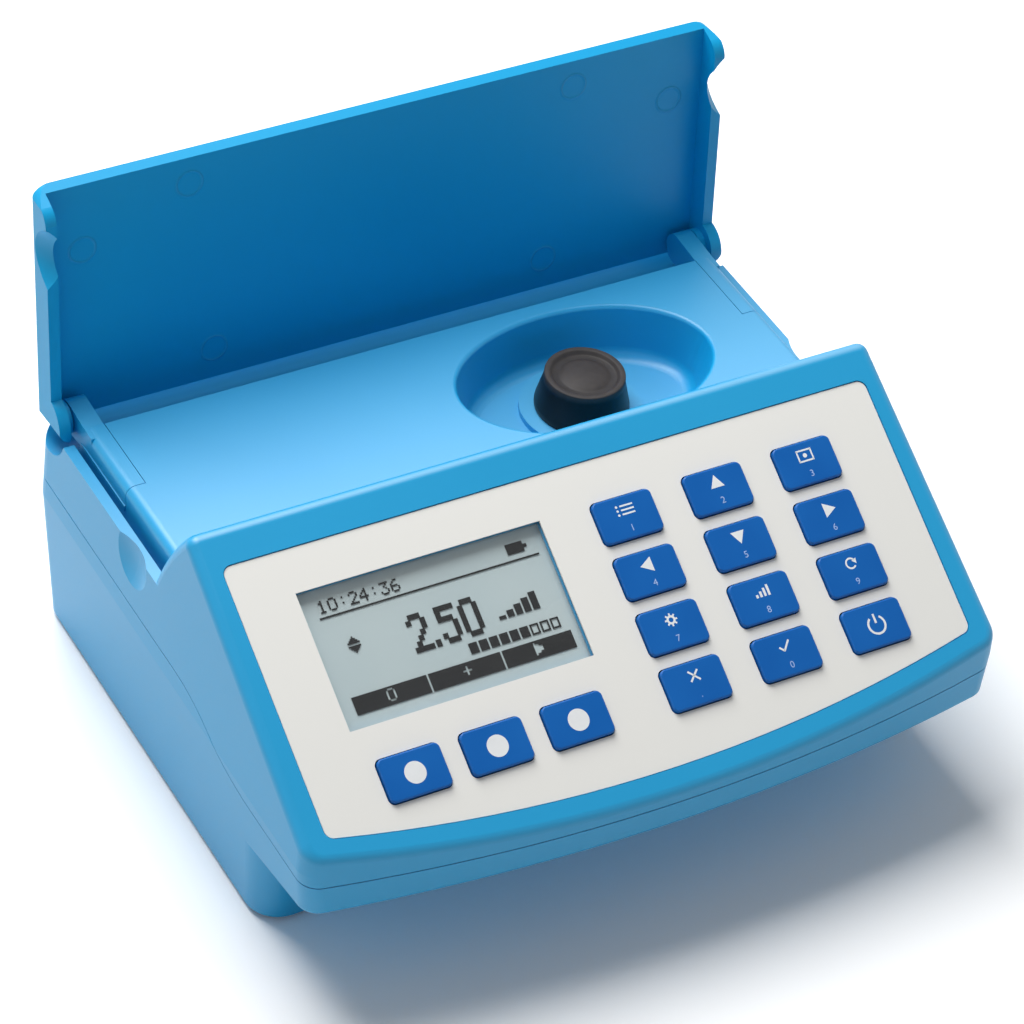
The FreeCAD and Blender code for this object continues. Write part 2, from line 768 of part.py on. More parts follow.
def bracket(body, side):
    saddle = body.common(bracket_space(side, bracket_gap))
    bottom = deck_z - bracket_depth + bracket_gap
    lead = trough_y(deck_z - deck_roll, -1) - 6.0
    arm = outline(yz, (lead, bottom),
                  [((lead, deck_z - 0.4),), ((lead + 5.0, deck_z - 0.2),), ((axis_y, axis_z + arm_radius),),
                   ((axis_y + arm_radius, axis_z), (axis_y, axis_z - arm_radius)),
                   ((lead + 7.0, bottom),)])
    x0, x1 = bracket_inner_x + bracket_gap, deck_half
    if side < 0:
        x0, x1 = -x1, -x0
    piece = saddle.fuse(along_x(arm, x0, x1)).removeSplitter()
    piece = piece.cut(pin_hole(side, pin_radius))
    x, y = bracket_screw_point(side)
    return piece.cut(post(x, y, bottom - 1, bottom + bracket_screw_bite, small_screw_radius))


def bracket_screw_point(side):
    return side * (bracket_inner_x + deck_half) / 2, bracket_front_y + bracket_screw_from_front


def bracket_screws():
    out = []
    seat = channel_floor_z - wall
    for side in (-1, 1):
        x, y = bracket_screw_point(side)
        shank = post(x, y, seat, deck_z - bracket_depth + bracket_gap + bracket_screw_bite, small_screw_radius)
        head = post(x, y, seat - small_head_height, seat, small_head_radius)
        out.append(shank.fuse(head))
    return Part.makeCompound(out)


def pin_hole(side, radius):
    low, high = bracket_inner_x + 1.5, side_half(axis_z) - 1.2
    start = V(side * low, axis_y, axis_z)
    return Part.makeCylinder(radius, high - low, start, V(side, 0, 0))


def hinge_pin(side):
    low, high = bracket_inner_x + 1.5, side_half(axis_z) - 1.6
    pin = Part.makeCylinder(pin_radius, high - low, V(side * low, axis_y, axis_z), V(side, 0, 0))
    return pin.makeChamfer(0.3, [e for e in pin.Edges if type(e.Curve).__name__ == "Circle"])


# Lid.
lid_top_z = axis_z + lid_rise
lid_low_z = lid_top_z - lid_depth


def lid_profile():
    cy, cz, r = slope_circle()
    tail = axis_y + lid_tail
    tail_low = axis_z - math.sqrt(lid_lobe_radius ** 2 - lid_tail ** 2)
    lobe_y = axis_y - math.sqrt(lid_lobe_radius ** 2 - (lid_low_z - axis_z) ** 2)
    mid_z = (lid_top_z + lid_low_z) / 2
    round_r = lid_nose_radius
    steps = [((tail - lid_tail_radius, lid_top_z),),
             ((tail - lid_tail_radius * 0.2929, lid_top_z - lid_tail_radius * 0.2929),
              (tail, lid_top_z - lid_tail_radius)),
             ((tail, tail_low),),
             ((axis_y - lid_lobe_radius * 0.35, axis_z - lid_lobe_radius * math.sqrt(1 - 0.35 ** 2)),
              (lobe_y, lid_low_z)),
             ((slope_y(lid_low_z) + lid_front_gap + round_r, lid_low_z),),
             ((slope_y(lid_low_z) + lid_front_gap + round_r * 0.27, lid_low_z + round_r * 0.27),
              (slope_y(lid_low_z + round_r) + lid_front_gap, lid_low_z + round_r))]
    return outline(yz, (slope_y(lid_top_z) + lid_front_gap, lid_top_z), steps)


def lid_closed():
    shell = along_x(lid_profile(), -side_reach, side_reach)
    shell = shell.common(along_y(section(0), -side_reach, side_reach)).removeSplitter().Solids[0]
    half = side_half(lid_low_z) + 0.5
    plan = rounded_slab(-half, half, slope_y(lid_top_z) + lid_front_gap, axis_y + lid_tail + 0.01,
                        lid_low_z - 10, lid_top_z + 1, lid_corner_radius)
    shell = shell.common(plan).removeSplitter().Solids[0]
    sides = edges_where(shell, lambda e: near(span(e)[4], lid_top_z) and near(span(e)[5], lid_top_z)
                        and e.BoundBox.YLength > 20)
    shell = shell.makeFillet(lid_edge_radius, sides).Solids[0]
    inner = deck_half + channel_width
    shell = shell.cut(block(-inner, inner, -side_reach, side_reach, -10, lid_top_z - lid_panel))
    for s in (-1, 1):
        start, end = deck_half + lid_boss_gap, inner + 0.5
        shell = shell.fuse(Part.makeCylinder(lid_boss_radius, end - start, V(s * start, axis_y, axis_z), V(s, 0, 0)))
    for s in (-1, 1):
        shell = shell.cut(pin_hole(s, pin_radius + pin_running_gap)).cut(grip_cut(s))
    return shell.removeSplitter()


def grip_cut(side):
    # Slanted finger notch in the flange: deeper on the outside than on the inside.
    y = slope_y(lid_top_z) + lid_front_gap + grip_from_end
    slope = math.radians(grip_slope)
    direction = V(side * math.cos(slope), 0, math.sin(slope))
    inner = deck_half + channel_width
    # the top generator passes grip_depth above the flange edge at its inner face
    top = V(side * inner, y, lid_low_z + grip_depth)
    sideways = V(side * math.sin(slope), 0, -math.cos(slope))
    centre = top + sideways * grip_radius - direction * 30
    return Part.makeCylinder(grip_radius, 60, centre, direction)


def lid():
    shape = lid_closed()
    shape.rotate(V(0, axis_y, axis_z), V(1, 0, 0), -lid_open_angle)
    return shape


# Vial, cap and cell well.
def around_cup(points):
    # Revolve a closed radius/height outline about the upright axis of the cup.
    wire = outline(xz, points[0], [(p,) if not isinstance(p[0], tuple) else p for p in points[1:]])
    shape = Part.Face(wire).revolve(V(0, 0, 0), V(0, 0, 1), 360)
    shape.translate(V(cup_x, cup_y, 0))
    return shape


vial_top_z = vial_bottom_z + vial_height
vial_body_z = vial_top_z - vial_neck_length


def vial_glass():
    z0, z1, z2 = vial_bottom_z, vial_body_z - vial_shoulder, vial_body_z
    w, r, n = vial_wall, vial_radius, vial_neck_radius
    return around_cup([(0, z0), (r - 1.0, z0), (r, z0 + 1.0), (r, z1), (n, z2), (n, vial_top_z),
                       (n - w, vial_top_z), (n - w, z2 - 0.5), (r - w, z1 - 0.5), (r - w, z0 + 2 * w),
                       (r - w - 1.0, z0 + 1.5 * w), (0, z0 + 1.5 * w)])


def sample_liquid():
    r, z0 = vial_radius - vial_wall - 0.02, vial_bottom_z + 1.5 * vial_wall + 0.02
    top = vial_bottom_z + sample_level - 4.0
    return around_cup([(0, z0), (r - 1.0, z0), (r, z0 + 0.62 * vial_wall), (r, top), (0, top)])


cap_low_z = cup_floor_z + collar_height + cap_seat_gap
cap_top_z = cap_low_z + cap_height


def vial_cap():
    z0, z3 = cap_low_z, cap_top_z
    z1, z2 = z0 + cap_skirt_height, z0 + cap_skirt_height + cap_flare
    rs, rt, inner = cap_skirt_radius, cap_top_radius, vial_neck_radius + 0.05
    roof = vial_top_z + 0.1
    return around_cup([(inner, z0), (rs - 0.6, z0), (rs, z0 + 0.6), (rs, z1),
                       ((rs - 0.5, z1 + cap_flare * 0.35), (rt + 0.45, z1 + cap_flare * 0.7)), (rt, z2),
                       (rt, z3 - 0.7), (rt - 0.7, z3), (cap_dish_radius, z3),
                       (cap_dish_radius - 0.8, z3 - cap_dish_depth), (0, z3 - cap_dish_depth), (0, roof),
                       (inner, roof)])


well_top_z = cup_floor_z - cup_wall - well_seat_gap
well_radius = vial_radius + vial_gap + well_wall
well_floor_z = vial_bottom_z - cap_seat_gap


def cell_well():
    low = well_floor_z - well_floor
    base_z = floor_z + wall
    tube = post(cup_x, cup_y, low, well_top_z, well_radius)
    reach = well_radius + snout_length
    half = snout_size / 2
    snout = block(cup_x - reach, cup_x + reach, cup_y - half, cup_y + half, optic_z - half, optic_z + half)
    side = well_radius + 4.0
    flange = rounded_slab(cup_x - side, cup_x + side, cup_y - side, cup_y + side, base_z,
                          base_z + well_flange, 4.0)
    rib = 1.25
    ribs = [block(cup_x - side + 2, cup_x + side - 2, cup_y - rib, cup_y + rib, base_z + 2, low + 6),
            block(cup_x - rib, cup_x + rib, cup_y - side + 2, cup_y + side - 2, base_z + 2, low + 6)]
    body = join([tube, snout, flange] + ribs)
    body = body.cut(post(cup_x, cup_y, well_floor_z, well_top_z + 1, vial_radius + vial_gap))
    bore = Part.makeCylinder(port_radius, 2 * reach + 2, V(cup_x - reach - 1, cup_y, optic_z), V(1, 0, 0))
    body = body.cut(bore)
    for x, y in well_points():
        body = body.cut(post(x, y, base_z - 1, base_z + 4, small_screw_radius + screw_clearance))
    return body


def well_points():
    side = well_radius + 4.0 - 4.2
    return [(cup_x + sx * side, cup_y + sy * side) for sx in (-1, 1) for sy in (-1, 1)]


def lamp_board():
    x = cup_x - well_radius - snout_length
    return block(x - board_thickness, x, cup_y - 9, cup_y + 9, optic_z - 9, optic_z + 11)


def detector_board():
    x = cup_x + well_radius + snout_length
    return block(x, x + board_thickness, cup_y - 9, cup_y + 9, optic_z - 9, optic_z + 11)


def round_part(x0, x1, radius):
    return Part.makeCylinder(radius, x1 - x0, V(x0, cup_y, optic_z), V(1, 0, 0))


def lamp():
    x = cup_x - well_radius - snout_length
    can = round_part(x, x + 4.5, port_radius - 0.5)
    dome = Part.makeSphere(port_radius - 0.5, V(x + 4.5, cup_y, optic_z))
    return can.fuse(dome).removeSplitter()


def lens():
    x = cup_x - well_radius - 0.5
    return round_part(x, x + 1.6, port_radius)


def light_filter():
    x = cup_x + well_radius - 1.5
    return round_part(x, x + 1.5, port_radius)


def detector():
    x = cup_x + well_radius + snout_length
    return round_part(x - 4.0, x, port_radius - 0.5)


# Boards, socket, battery, feet.
def board_points():
    x0, x1 = board_left + board_inset, board_right - board_inset
    y0, y1 = board_front_y + board_inset, board_rear_y - board_inset
    return [(x0, y0), (x0, y1), (x1, y0), (x1, y1)]


def main_board():
    board = rounded_slab(board_left, board_right, board_front_y, board_rear_y, board_z,
                         board_z + board_thickness, 2.0)
    for x, y in board_points():
        board = board.cut(post(x, y, board_z - 1, board_z + 5, small_screw_radius + screw_clearance))
    return board


def board_chips():
    z = board_z + board_thickness
    return Part.makeCompound([block(-52, -38, 44, 58, z, z + 1.6), block(-26, -16, 46, 52, z, z + 1.4),
                              block(-10, 0, 56, 64, z, z + 3.2), block(-60, -54, 62, 72, z, z + 5.0)])


def board_screws():
    z = board_z + board_thickness
    out = []
    for x, y in board_points():
        shank = post(x, y, z - 7, z, small_screw_radius)
        head = post(x, y, z, z + small_head_height, small_head_radius)
        out.append(shank.fuse(head))
    base_z = floor_z + wall + well_flange
    for x, y in well_points():
        shank = post(x, y, floor_z + well_screw_rest + 0.2, base_z, small_screw_radius)
        head = post(x, y, base_z, base_z + small_head_height, small_head_radius)
        out.append(shank.fuse(head))
    return Part.makeCompound(out)


def usb_socket():
    z0 = board_z + board_thickness
    x0, x1 = usb_x - usb_width / 2, usb_x + usb_width / 2
    y1 = rear_y - 1.0
    shell = rounded_slab(x0, x1, y1 - usb_length, y1, z0, z0 + usb_height, 0.01)
    return shell


def usb_cut():
    z0 = board_z + board_thickness
    hx = usb_width / 2 + usb_margin
    return block(usb_x - hx, usb_x + hx, rear_y - wall - 1, rear_y + 5, z0 - usb_margin,
                 z0 + usb_height + usb_margin)


def battery_cells():
    cells = []
    for i in range(cell_count):
        x = bay_x + (i - (cell_count - 1) / 2) * cell_pitch
        s = 1 if i % 2 else -1
        z = door_top_z + bay_margin + cell_radius
        body = Part.makeCylinder(cell_radius, cell_length - 1.0, V(x, bay_y - s * cell_length / 2, z), V(0, s, 0))
        nub = Part.makeCylinder(2.7, 1.0, V(x, bay_y + s * (cell_length / 2 - 1.0), z), V(0, s, 0))
        cells.append(body.fuse(nub))
    return Part.makeCompound(cells)


def battery_contacts():
    out = []
    for i in range(cell_count):
        x = bay_x + (i - (cell_count - 1) / 2) * cell_pitch
        z = door_top_z + bay_margin + cell_radius
        for s in (-1, 1):
            y = bay_y + s * bay_half_y
            plate = block(x - 4.5, x + 4.5, min(y, y - s * contact_thickness), max(y, y - s * contact_thickness),
                          z - 5, z + 5)
            nose = Part.makeCone(3.0, 2.0, contact_gap - contact_thickness - 0.05,
                                 V(x, y - s * contact_thickness, z), V(0, -s, 0))
            out.append(plate.fuse(nose))
    return Part.makeCompound(out)


def battery_door():
    door = door_outline(door_gap, floor_z, door_top_z)
    for x, y in door_screw_points():
        door = door.cut(post(x, y, floor_z - 1, door_top_z + 1, small_screw_radius + screw_clearance))
        door = door.cut(post(x, y, floor_z - 1, floor_z + 1.0, small_head_radius + 0.3))
    return door


def door_screws():
    out = []
    for x, y in door_screw_points():
        shank = post(x, y, floor_z + 1.0, door_top_z + 5.5, small_screw_radius)
        head = post(x, y, floor_z + 0.1, floor_z + 1.0, small_head_radius)
        out.append(shank.fuse(head))
    return Part.makeCompound(out)


def housing_screws():
    out = []
    for x, y in screw_points():
        shank = post(x, y, boss_seat_z, boss_seat_z + screw_length, screw_radius)
        head = post(x, y, boss_seat_z - screw_head_height, boss_seat_z, screw_head_radius)
        out.append(shank.fuse(head))
    return Part.makeCompound(out)


def rubber_feet():
    out = []
    for x, y in foot_points():
        foot = post(x, y, 0, floor_z + foot_pocket, foot_radius)
        low = edges_where(foot, lambda e: near(span(e)[5], 0))
        out.append(foot.makeChamfer(0.4, low))
    return Part.makeCompound(out)


KEY_NAMES = ["key_a1", "key_up", "key_a3", "key_left", "key_down", "key_right",
             "key_c1", "key_c2", "key_c3", "key_d1", "key_d2", "key_power",
             "softkey_left", "softkey_middle", "softkey_right"]


def build():
    body = housing_solid()
    space = cavity(wall)
    wider = cavity(wall - tongue_wall)
    socket = cavity(wall - tongue_wall - tongue_gap)
    parts = {"base_shell": base_shell(body, space, wider), "top_shell": top_shell(body, space, socket)}
    for side, name in ((-1, "left"), (1, "right")):
        parts["hinge_bracket_" + name] = bracket(body, side)
        parts["hinge_pin_" + name] = hinge_pin(side)
    parts["bracket_screws"] = bracket_screws()
    parts["lid"] = lid()
    parts["panel_overlay"] = panel_overlay()
    parts["display_window"] = display_window()
    parts["display_module"] = display_module()
    parts["key_mat"] = key_mat()
    parts["key_board"] = key_board()
    parts["panel_screws"] = panel_screws()
    for name, centre in zip(KEY_NAMES, key_centres()):
        parts[name] = key(centre)
    parts["vial_glass"] = vial_glass()
    parts["vial_sample"] = sample_liquid()
    parts["vial_cap"] = vial_cap()
    parts["cell_well"] = cell_well()
    parts["lamp_board"] = lamp_board()
    parts["lamp"] = lamp()
    parts["lens"] = lens()
    parts["light_filter"] = light_filter()
    parts["detector"] = detector()
    parts["detector_board"] = detector_board()
    parts["main_board"] = main_board()
    parts["board_chips"] = board_chips()
    parts["board_screws"] = board_screws()
    parts["usb_socket"] = usb_socket()
    parts["battery_cells"] = battery_cells()
    parts["battery_contacts"] = battery_contacts()
    parts["battery_door"] = battery_door()
    parts["door_screws"] = door_screws()
    parts["housing_screws"] = housing_screws()
    parts["rubber_feet"] = rubber_feet()
    return parts


def main():
    os.makedirs("parts", exist_ok=True)
    for name, shape in build().items():
        solids = shape.Solids
        good = all(s.isValid() for s in solids)
        b = shape.BoundBox
        print(f"{name:22s} solids {len(solids)} valid {good} volume {shape.Volume:10.1f}",
              [round(v, 2) for v in (b.XMin, b.XMax, b.YMin, b.YMax, b.ZMin, b.ZMax)])
        whole = solids[0] if len(solids) == 1 else Part.makeCompound(solids)
        whole.exportStep(f"parts/{name}.step")


if __name__ == "__main__":
    main()
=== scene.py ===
# %% [markdown]
# # A bench photometer
# A photometer measures the colour of a water sample. Its housing is two moulded blue shells: a wedge
# with a sloping key panel in front, and a deck with an oval cup behind, where a capped glass vial
# stands in the light path. A tray-shaped lid, hinged at the rear, covers the deck.
# The solids come from the CAD model as a fixed frame. They already have the true shape, so this
# lesson gives them their finishes and adds what ink, film and small hardware bring.

# %% Load the solids
import bpy, bmesh, json, math
from mathutils import Matrix, Vector


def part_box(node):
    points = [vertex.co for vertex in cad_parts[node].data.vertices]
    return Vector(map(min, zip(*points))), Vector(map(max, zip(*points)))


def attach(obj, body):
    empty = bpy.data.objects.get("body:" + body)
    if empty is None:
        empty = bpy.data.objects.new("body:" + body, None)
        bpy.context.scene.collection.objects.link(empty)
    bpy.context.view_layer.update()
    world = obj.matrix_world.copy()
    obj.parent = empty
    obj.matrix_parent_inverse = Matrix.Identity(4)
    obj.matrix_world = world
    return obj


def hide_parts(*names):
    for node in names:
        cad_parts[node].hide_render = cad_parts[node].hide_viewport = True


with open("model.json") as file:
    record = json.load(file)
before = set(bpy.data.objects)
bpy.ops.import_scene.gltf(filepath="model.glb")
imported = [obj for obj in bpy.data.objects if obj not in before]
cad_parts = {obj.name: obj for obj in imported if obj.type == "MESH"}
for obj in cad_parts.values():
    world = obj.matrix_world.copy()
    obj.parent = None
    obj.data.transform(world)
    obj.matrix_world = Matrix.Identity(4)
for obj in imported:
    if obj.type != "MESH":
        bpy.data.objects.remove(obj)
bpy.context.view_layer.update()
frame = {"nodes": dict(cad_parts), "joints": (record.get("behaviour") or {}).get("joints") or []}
nodes = frame["nodes"]

# %% [markdown]
# ## Sums on sockets
# A material is a graph of nodes, and graphs built by hand are hard to read in code. A small class wraps
# a node's output, and its operators add Math nodes, so a pattern can be written as a sum. A second
# class stands for one finish: it starts from a Principled shader and adds any other node by one method.

# %% Wrap a socket
class Wire:
    def __init__(self, finish, socket):
        self.finish, self.socket = finish, socket

    def math(self, operation, *values, clamp=False):
        values = dict(enumerate(values))
        return self.finish.node("ShaderNodeMath", values, operation=operation, use_clamp=clamp)

    def __add__(self, other): return self.math("ADD", self, other)
    def __radd__(self, other): return self.math("ADD", other, self)
    def __sub__(self, other): return self.math("SUBTRACT", self, other)
    def __rsub__(self, other): return self.math("SUBTRACT", other, self)
    def __mul__(self, other): return self.math("MULTIPLY", self, other)
    def __rmul__(self, other): return self.math("MULTIPLY", other, self)
    def __truediv__(self, other): return self.math("DIVIDE", self, other)
    def high(self, other): return self.math("MAXIMUM", self, other)
    def size(self): return self.math("ABSOLUTE", self)

    # Rises from 0 to 1 about the edge, over the width soft to either side of it.
    def above(self, edge, soft):
        return self.math("DIVIDE", self - (edge - soft), 2 * soft, clamp=True)


print("operators on a socket: + - * /, high, size and above")

# %% Start a finish
class Finish:
    def __init__(self, name, **constants):
        self.material = bpy.data.materials.new(name)
        self.material.use_nodes = True
        self.tree = self.material.node_tree
        self.tree.nodes.clear()
        self.output = self.tree.nodes.new("ShaderNodeOutputMaterial")
        self.shader = self.tree.nodes.new("ShaderNodeBsdfPrincipled")
        self.tree.links.new(self.shader.outputs[0], self.output.inputs["Surface"])
        for socket, value in constants.items():
            self.shader.inputs[socket.replace("_", " ")].default_value = value
        self.place = self.node("ShaderNodeTexCoord", out="Object")

    def join(self, socket, value):
        if isinstance(value, Wire):
            self.tree.links.new(value.socket, socket)
        else:
            socket.default_value = value

    def node(self, kind, values=None, out=0, **settings):
        made = self.tree.nodes.new(kind)
        for key, value in settings.items():
            setattr(made, key, value)
        for key, value in (values or {}).items():
            self.join(made.inputs[key], value)
        return Wire(self, made.outputs[out])

    def feed(self, **wires):
        for socket, value in wires.items():
            self.join(self.shader.inputs[socket.replace("_", " ")], value)

    def fed(self, socket):
        return Wire(self, self.shader.inputs[socket].links[0].from_socket)

    def noise(self, scale, detail=2.0):
        return self.node("ShaderNodeTexNoise", {"Vector": self.place, "Scale": scale, "Detail": detail})

    def part(self, vector, axis):
        return self.node("ShaderNodeSeparateXYZ", {0: vector}, out="XYZ".index(axis))

    def front(self):
        return 1 - self.node("ShaderNodeNewGeometry", out="Backfacing")

    def mix(self, factor, first, second):
        made = self.tree.nodes.new("ShaderNodeMix")
        made.data_type = "RGBA"
        for index, value in ((0, factor), (6, first), (7, second)):
            self.join(made.inputs[index], value)
        return Wire(self, made.outputs[2])

    def bump(self, height, distance, strength=1.0, below=None):
        values = {"Height": height, "Distance": distance, "Strength": strength}
        if below is not None:
            values["Normal"] = below
        return self.node("ShaderNodeBump", values)


def colour(red, green, blue):
    return (red, green, blue, 1.0)


print("a finish offers noise, part, front, mix and bump")

# %% [markdown]
# ## The moulded blue plastic
# Both shells, the lid, the brackets and the battery door are one ABS plastic, coloured through. Close
# by it has a fine spark-eroded grain, faint flow clouds from the mould, and a soft sheen. A paint would
# need an edge that chips, but a plastic coloured through only polishes where hands rub it, so the
# variation goes into the roughness and a little into the colour, and the grain into a bump.
# Faces that look straight up get a painted sheen: a pale tone that stands in for the lamp's reflection,
# strongest at the ridge and fading out towards the hinge, where it turns to painted shade under the open
# lid. The normal's Z finds those faces, and the place along Y fades the painted sheen out.

# %% Blue ABS
BLUE_DARK, BLUE_LIGHT = colour(0.0, 0.330, 0.655), colour(0.0, 0.370, 0.715)
PAINTED_SHEEN_TONE, SPECK_TONE = colour(0.42, 0.62, 0.72), colour(0.01, 0.41, 0.75)
GRAIN_DEPTH = 0.00003


# haze is the strength of the painted sheen on level faces.
def moulded_blue(name, grain, gloss, haze):
    finish = Finish(name, IOR=1.48, Specular_IOR_Level=gloss, Coat_Weight=gloss, Coat_Roughness=0.35)
    clouds, specks = finish.noise(14.0, 3.0), finish.noise(900.0)
    facing = finish.node("ShaderNodeNewGeometry", out="Normal")
    level = finish.part(facing, "Z").above(0.95, 0.05)
    painted_sheen_fade = 1 - finish.part(finish.place, "Y").above(0.040, 0.042)
    base = finish.mix(clouds, BLUE_DARK, BLUE_LIGHT)
    # Painted sheen: a pale tone on up-facing faces, fading out towards the hinge as painted shade.
    with_painted_sheen = finish.mix(level * painted_sheen_fade * (haze + 0.10 * clouds), base, PAINTED_SHEEN_TONE)
    finish.feed(Base_Color=finish.mix(specks * 0.08, with_painted_sheen, SPECK_TONE),
                Roughness=0.40 + 0.10 * clouds + 0.05 * specks,
                Normal=finish.bump(finish.noise(2600.0), GRAIN_DEPTH * grain, 0.35))
    return finish


# The housing gets a painted sheen of strength 0.26.
moulded_blue("housing_blue", 1.0, 0.5, 0.26)
print("blue plastic mixed")

# %% [markdown]
# ## The lid, inside
# The lid is the same plastic, but its inner face shows the moulding: round marks of the ejector pins
# that pushed it out of the mould, faint. They are a few hundredths of a millimetre deep, far too
# shallow to model, so a height made of distance rings goes into a bump. Each ring is where a sphere
# cuts the inner face. Its centre stands in front of that face, so that the sphere misses the outer one.

# %% Ejector marks
LEAN = math.radians(5.4)
INNER_FACE, BEFORE_FACE = 0.0053, 0.0028
MARK_RADIUS, MARK_WIDTH, MARK_HEIGHT = 0.0038, 0.0004, 0.00025
PAIRS = ((0.089, 0.047), (0.051, 0.005), (0.058, 0.059))

lid_blue = moulded_blue("lid_blue", 0.8, 0.22, 0.0)
axis_y, axis_z = (frame["joints"][0]["pos_m"][i] for i in (1, 2))
sphere = math.hypot(MARK_RADIUS, BEFORE_FACE)
rings = 0.0
for x, up in [(side * x, up) for x, up in PAIRS for side in (-1, 1)]:
    centre = (x, axis_y + INNER_FACE - BEFORE_FACE + up * math.sin(LEAN), axis_z + up)
    away = lid_blue.node("ShaderNodeVectorMath", {0: lid_blue.place, 1: centre}, out=1, operation="DISTANCE")
    past = (away - sphere).size() / MARK_WIDTH
    rings = past.math("SUBTRACT", 1.0, past, clamp=True) + rings
lid_blue.feed(Normal=lid_blue.bump(rings, MARK_HEIGHT, 1.0, lid_blue.fed("Normal")),
              Base_Color=lid_blue.mix(rings * 0.22, lid_blue.fed("Base Color"), colour(0.06, 0.44, 0.78)))
print(2 * len(PAIRS), "ejector marks set about the axis at", round(axis_y, 4), round(axis_z, 4))

# %% [markdown]
# ## The ivory label
# The panel is covered by a printed polyester film with a fine texture. Screen print lies flat, with a
# trace of orange peel and a satin gloss. Two noises do it: a very fine one for the film's texture and a
# broad one for the ink's faint change of tone.

# %% Printed film
label_film = Finish("label_film", IOR=1.5, Specular_IOR_Level=0.4)
tone = label_film.noise(22.0)
label_film.feed(Base_Color=label_film.mix(tone, colour(0.745, 0.718, 0.672), colour(0.790, 0.762, 0.716)),
                Roughness=0.46 + 0.08 * label_film.noise(260.0),
                Normal=label_film.bump(label_film.noise(3400.0, 3.0), 0.00002, 0.4))
print("film mixed")

# %% [markdown]
# ## Keys
# The keys are deep blue caps with a satin sheen. Fingers polish the middle of a key, so its roughness
# falls a little there. Distance to the key's own centre would need a node for each key; a soft noise at
# the scale of one key gives the same uneven sheen for all of them at once.

# %% Key plastic
key_blue = Finish("key_blue", IOR=1.5, Specular_IOR_Level=0.3)
handling = key_blue.noise(70.0, 1.0)
key_blue.feed(Base_Color=key_blue.mix(handling, colour(0.001, 0.105, 0.420), colour(0.003, 0.140, 0.500)),
              Roughness=0.30 + 0.14 * handling,
              Normal=key_blue.bump(key_blue.noise(3000.0), 0.00002, 0.3))
print("key plastic mixed")

# %% [markdown]
# ## The display
# A reflective liquid crystal display is a grey-green mirror behind a fine square grid of dots. The grid
# runs along the sloping panel, so its coordinates are turned into the panel's own frame by a Mapping
# node in its texture mode.

# %% The panel's own frame
TILT = math.radians(30.43)
RIDGE = (0.0, -0.0042, 0.0973)
panel_frame = Matrix.Translation(RIDGE) @ Matrix.Rotation(TILT, 4, "X")


def panel_place(finish):
    values = {"Vector": finish.place, "Location": RIDGE, "Rotation": (TILT, 0, 0)}
    return finish.node("ShaderNodeMapping", values, vector_type="TEXTURE")


def line_grid(value, pitch):
    steps = value / pitch
    return (steps.math("FRACT", steps) - 0.5).size().above(0.46, 0.03)


print("panel tilted by", round(math.degrees(TILT), 2), "degrees about the ridge")

# %% Display glass
PIXEL = 0.0005

display_grey = Finish("display_grey", IOR=1.5, Specular_IOR_Level=0.5)
on_panel = panel_place(display_grey)
across, along = (line_grid(display_grey.part(on_panel, axis), PIXEL) for axis in "XY")
gaps = across.high(along)
glow = display_grey.noise(30.0, 1.0)
glass_tone = display_grey.mix(glow, colour(0.470, 0.590, 0.620), colour(0.560, 0.650, 0.655))
display_grey.feed(Base_Color=display_grey.mix(gaps * 0.10, glass_tone, colour(0.68, 0.74, 0.74)),
                  Roughness=0.22 + 0.08 * glow)
print("display mixed with dots of", PIXEL * 1000, "mm")

# %% [markdown]
# ## Clear pieces
# The window is a thin flat sheet, so it needs no bending of light: a mix of a see-through shader and a
# sharp mirror, with Fresnel as the factor, is a true window and lets light through to the display. Only
# its front reflects, because Fresnel on the back of a sheet stops much of the light that comes out. The
# glass vial is thick and round, so it gets a real glass shader, and so does the water in it.

# %% Window, glass and water
WINDOW_IOR = 1.49


def mixed_with_clear(finish, factor):
    clear = finish.tree.nodes.new("ShaderNodeBsdfTransparent")
    blend = finish.tree.nodes.new("ShaderNodeMixShader")
    finish.join(blend.inputs[0], factor)
    finish.tree.links.new(clear.outputs[0], blend.inputs[1])
    finish.tree.links.new(finish.shader.outputs[0], blend.inputs[2])
    finish.tree.links.new(blend.outputs[0], finish.output.inputs["Surface"])


window_clear = Finish("window_clear", Base_Color=colour(0.9, 0.92, 0.92), IOR=WINDOW_IOR)
smudge = window_clear.noise(60.0, 3.0)
window_clear.feed(Roughness=0.05 + 0.10 * smudge)
mirror = window_clear.node("ShaderNodeFresnel", {"IOR": WINDOW_IOR}) * 0.9 + 0.02 * smudge
mixed_with_clear(window_clear, window_clear.front() * mirror)

vial_clear = Finish("vial_clear", Base_Color=colour(0.95, 0.98, 0.97), IOR=1.5, Transmission_Weight=1.0)
vial_clear.feed(Roughness=0.02 + 0.05 * vial_clear.noise(120.0),
                Normal=vial_clear.bump(vial_clear.noise(60.0, 1.0), 0.00004, 0.3))
water_clear = Finish("water_clear", Base_Color=colour(0.84, 0.93, 0.97), IOR=1.33, Transmission_Weight=1.0)
water_clear.feed(Roughness=0.01 + 0.01 * water_clear.noise(20.0))
print("window, glass and water mixed")

# %% [markdown]
# ## The black cap
# The cap is black phenolic, matt, with dust in its dish, and its top is a paler brown-grey than its sides.
# The height above the cup tells top from side: a smooth step on Z lays the paler tone on the top only.

# %% Cap
TOP_BAND = 0.0014

cap_black = Finish("cap_black", IOR=1.5, Specular_IOR_Level=0.35)
cap_low, cap_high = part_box("vial_cap")
top_side = cap_black.part(cap_black.place, "Z").above(cap_high.z - TOP_BAND, 0.0006)
dust = cap_black.noise(420.0, 4.0)
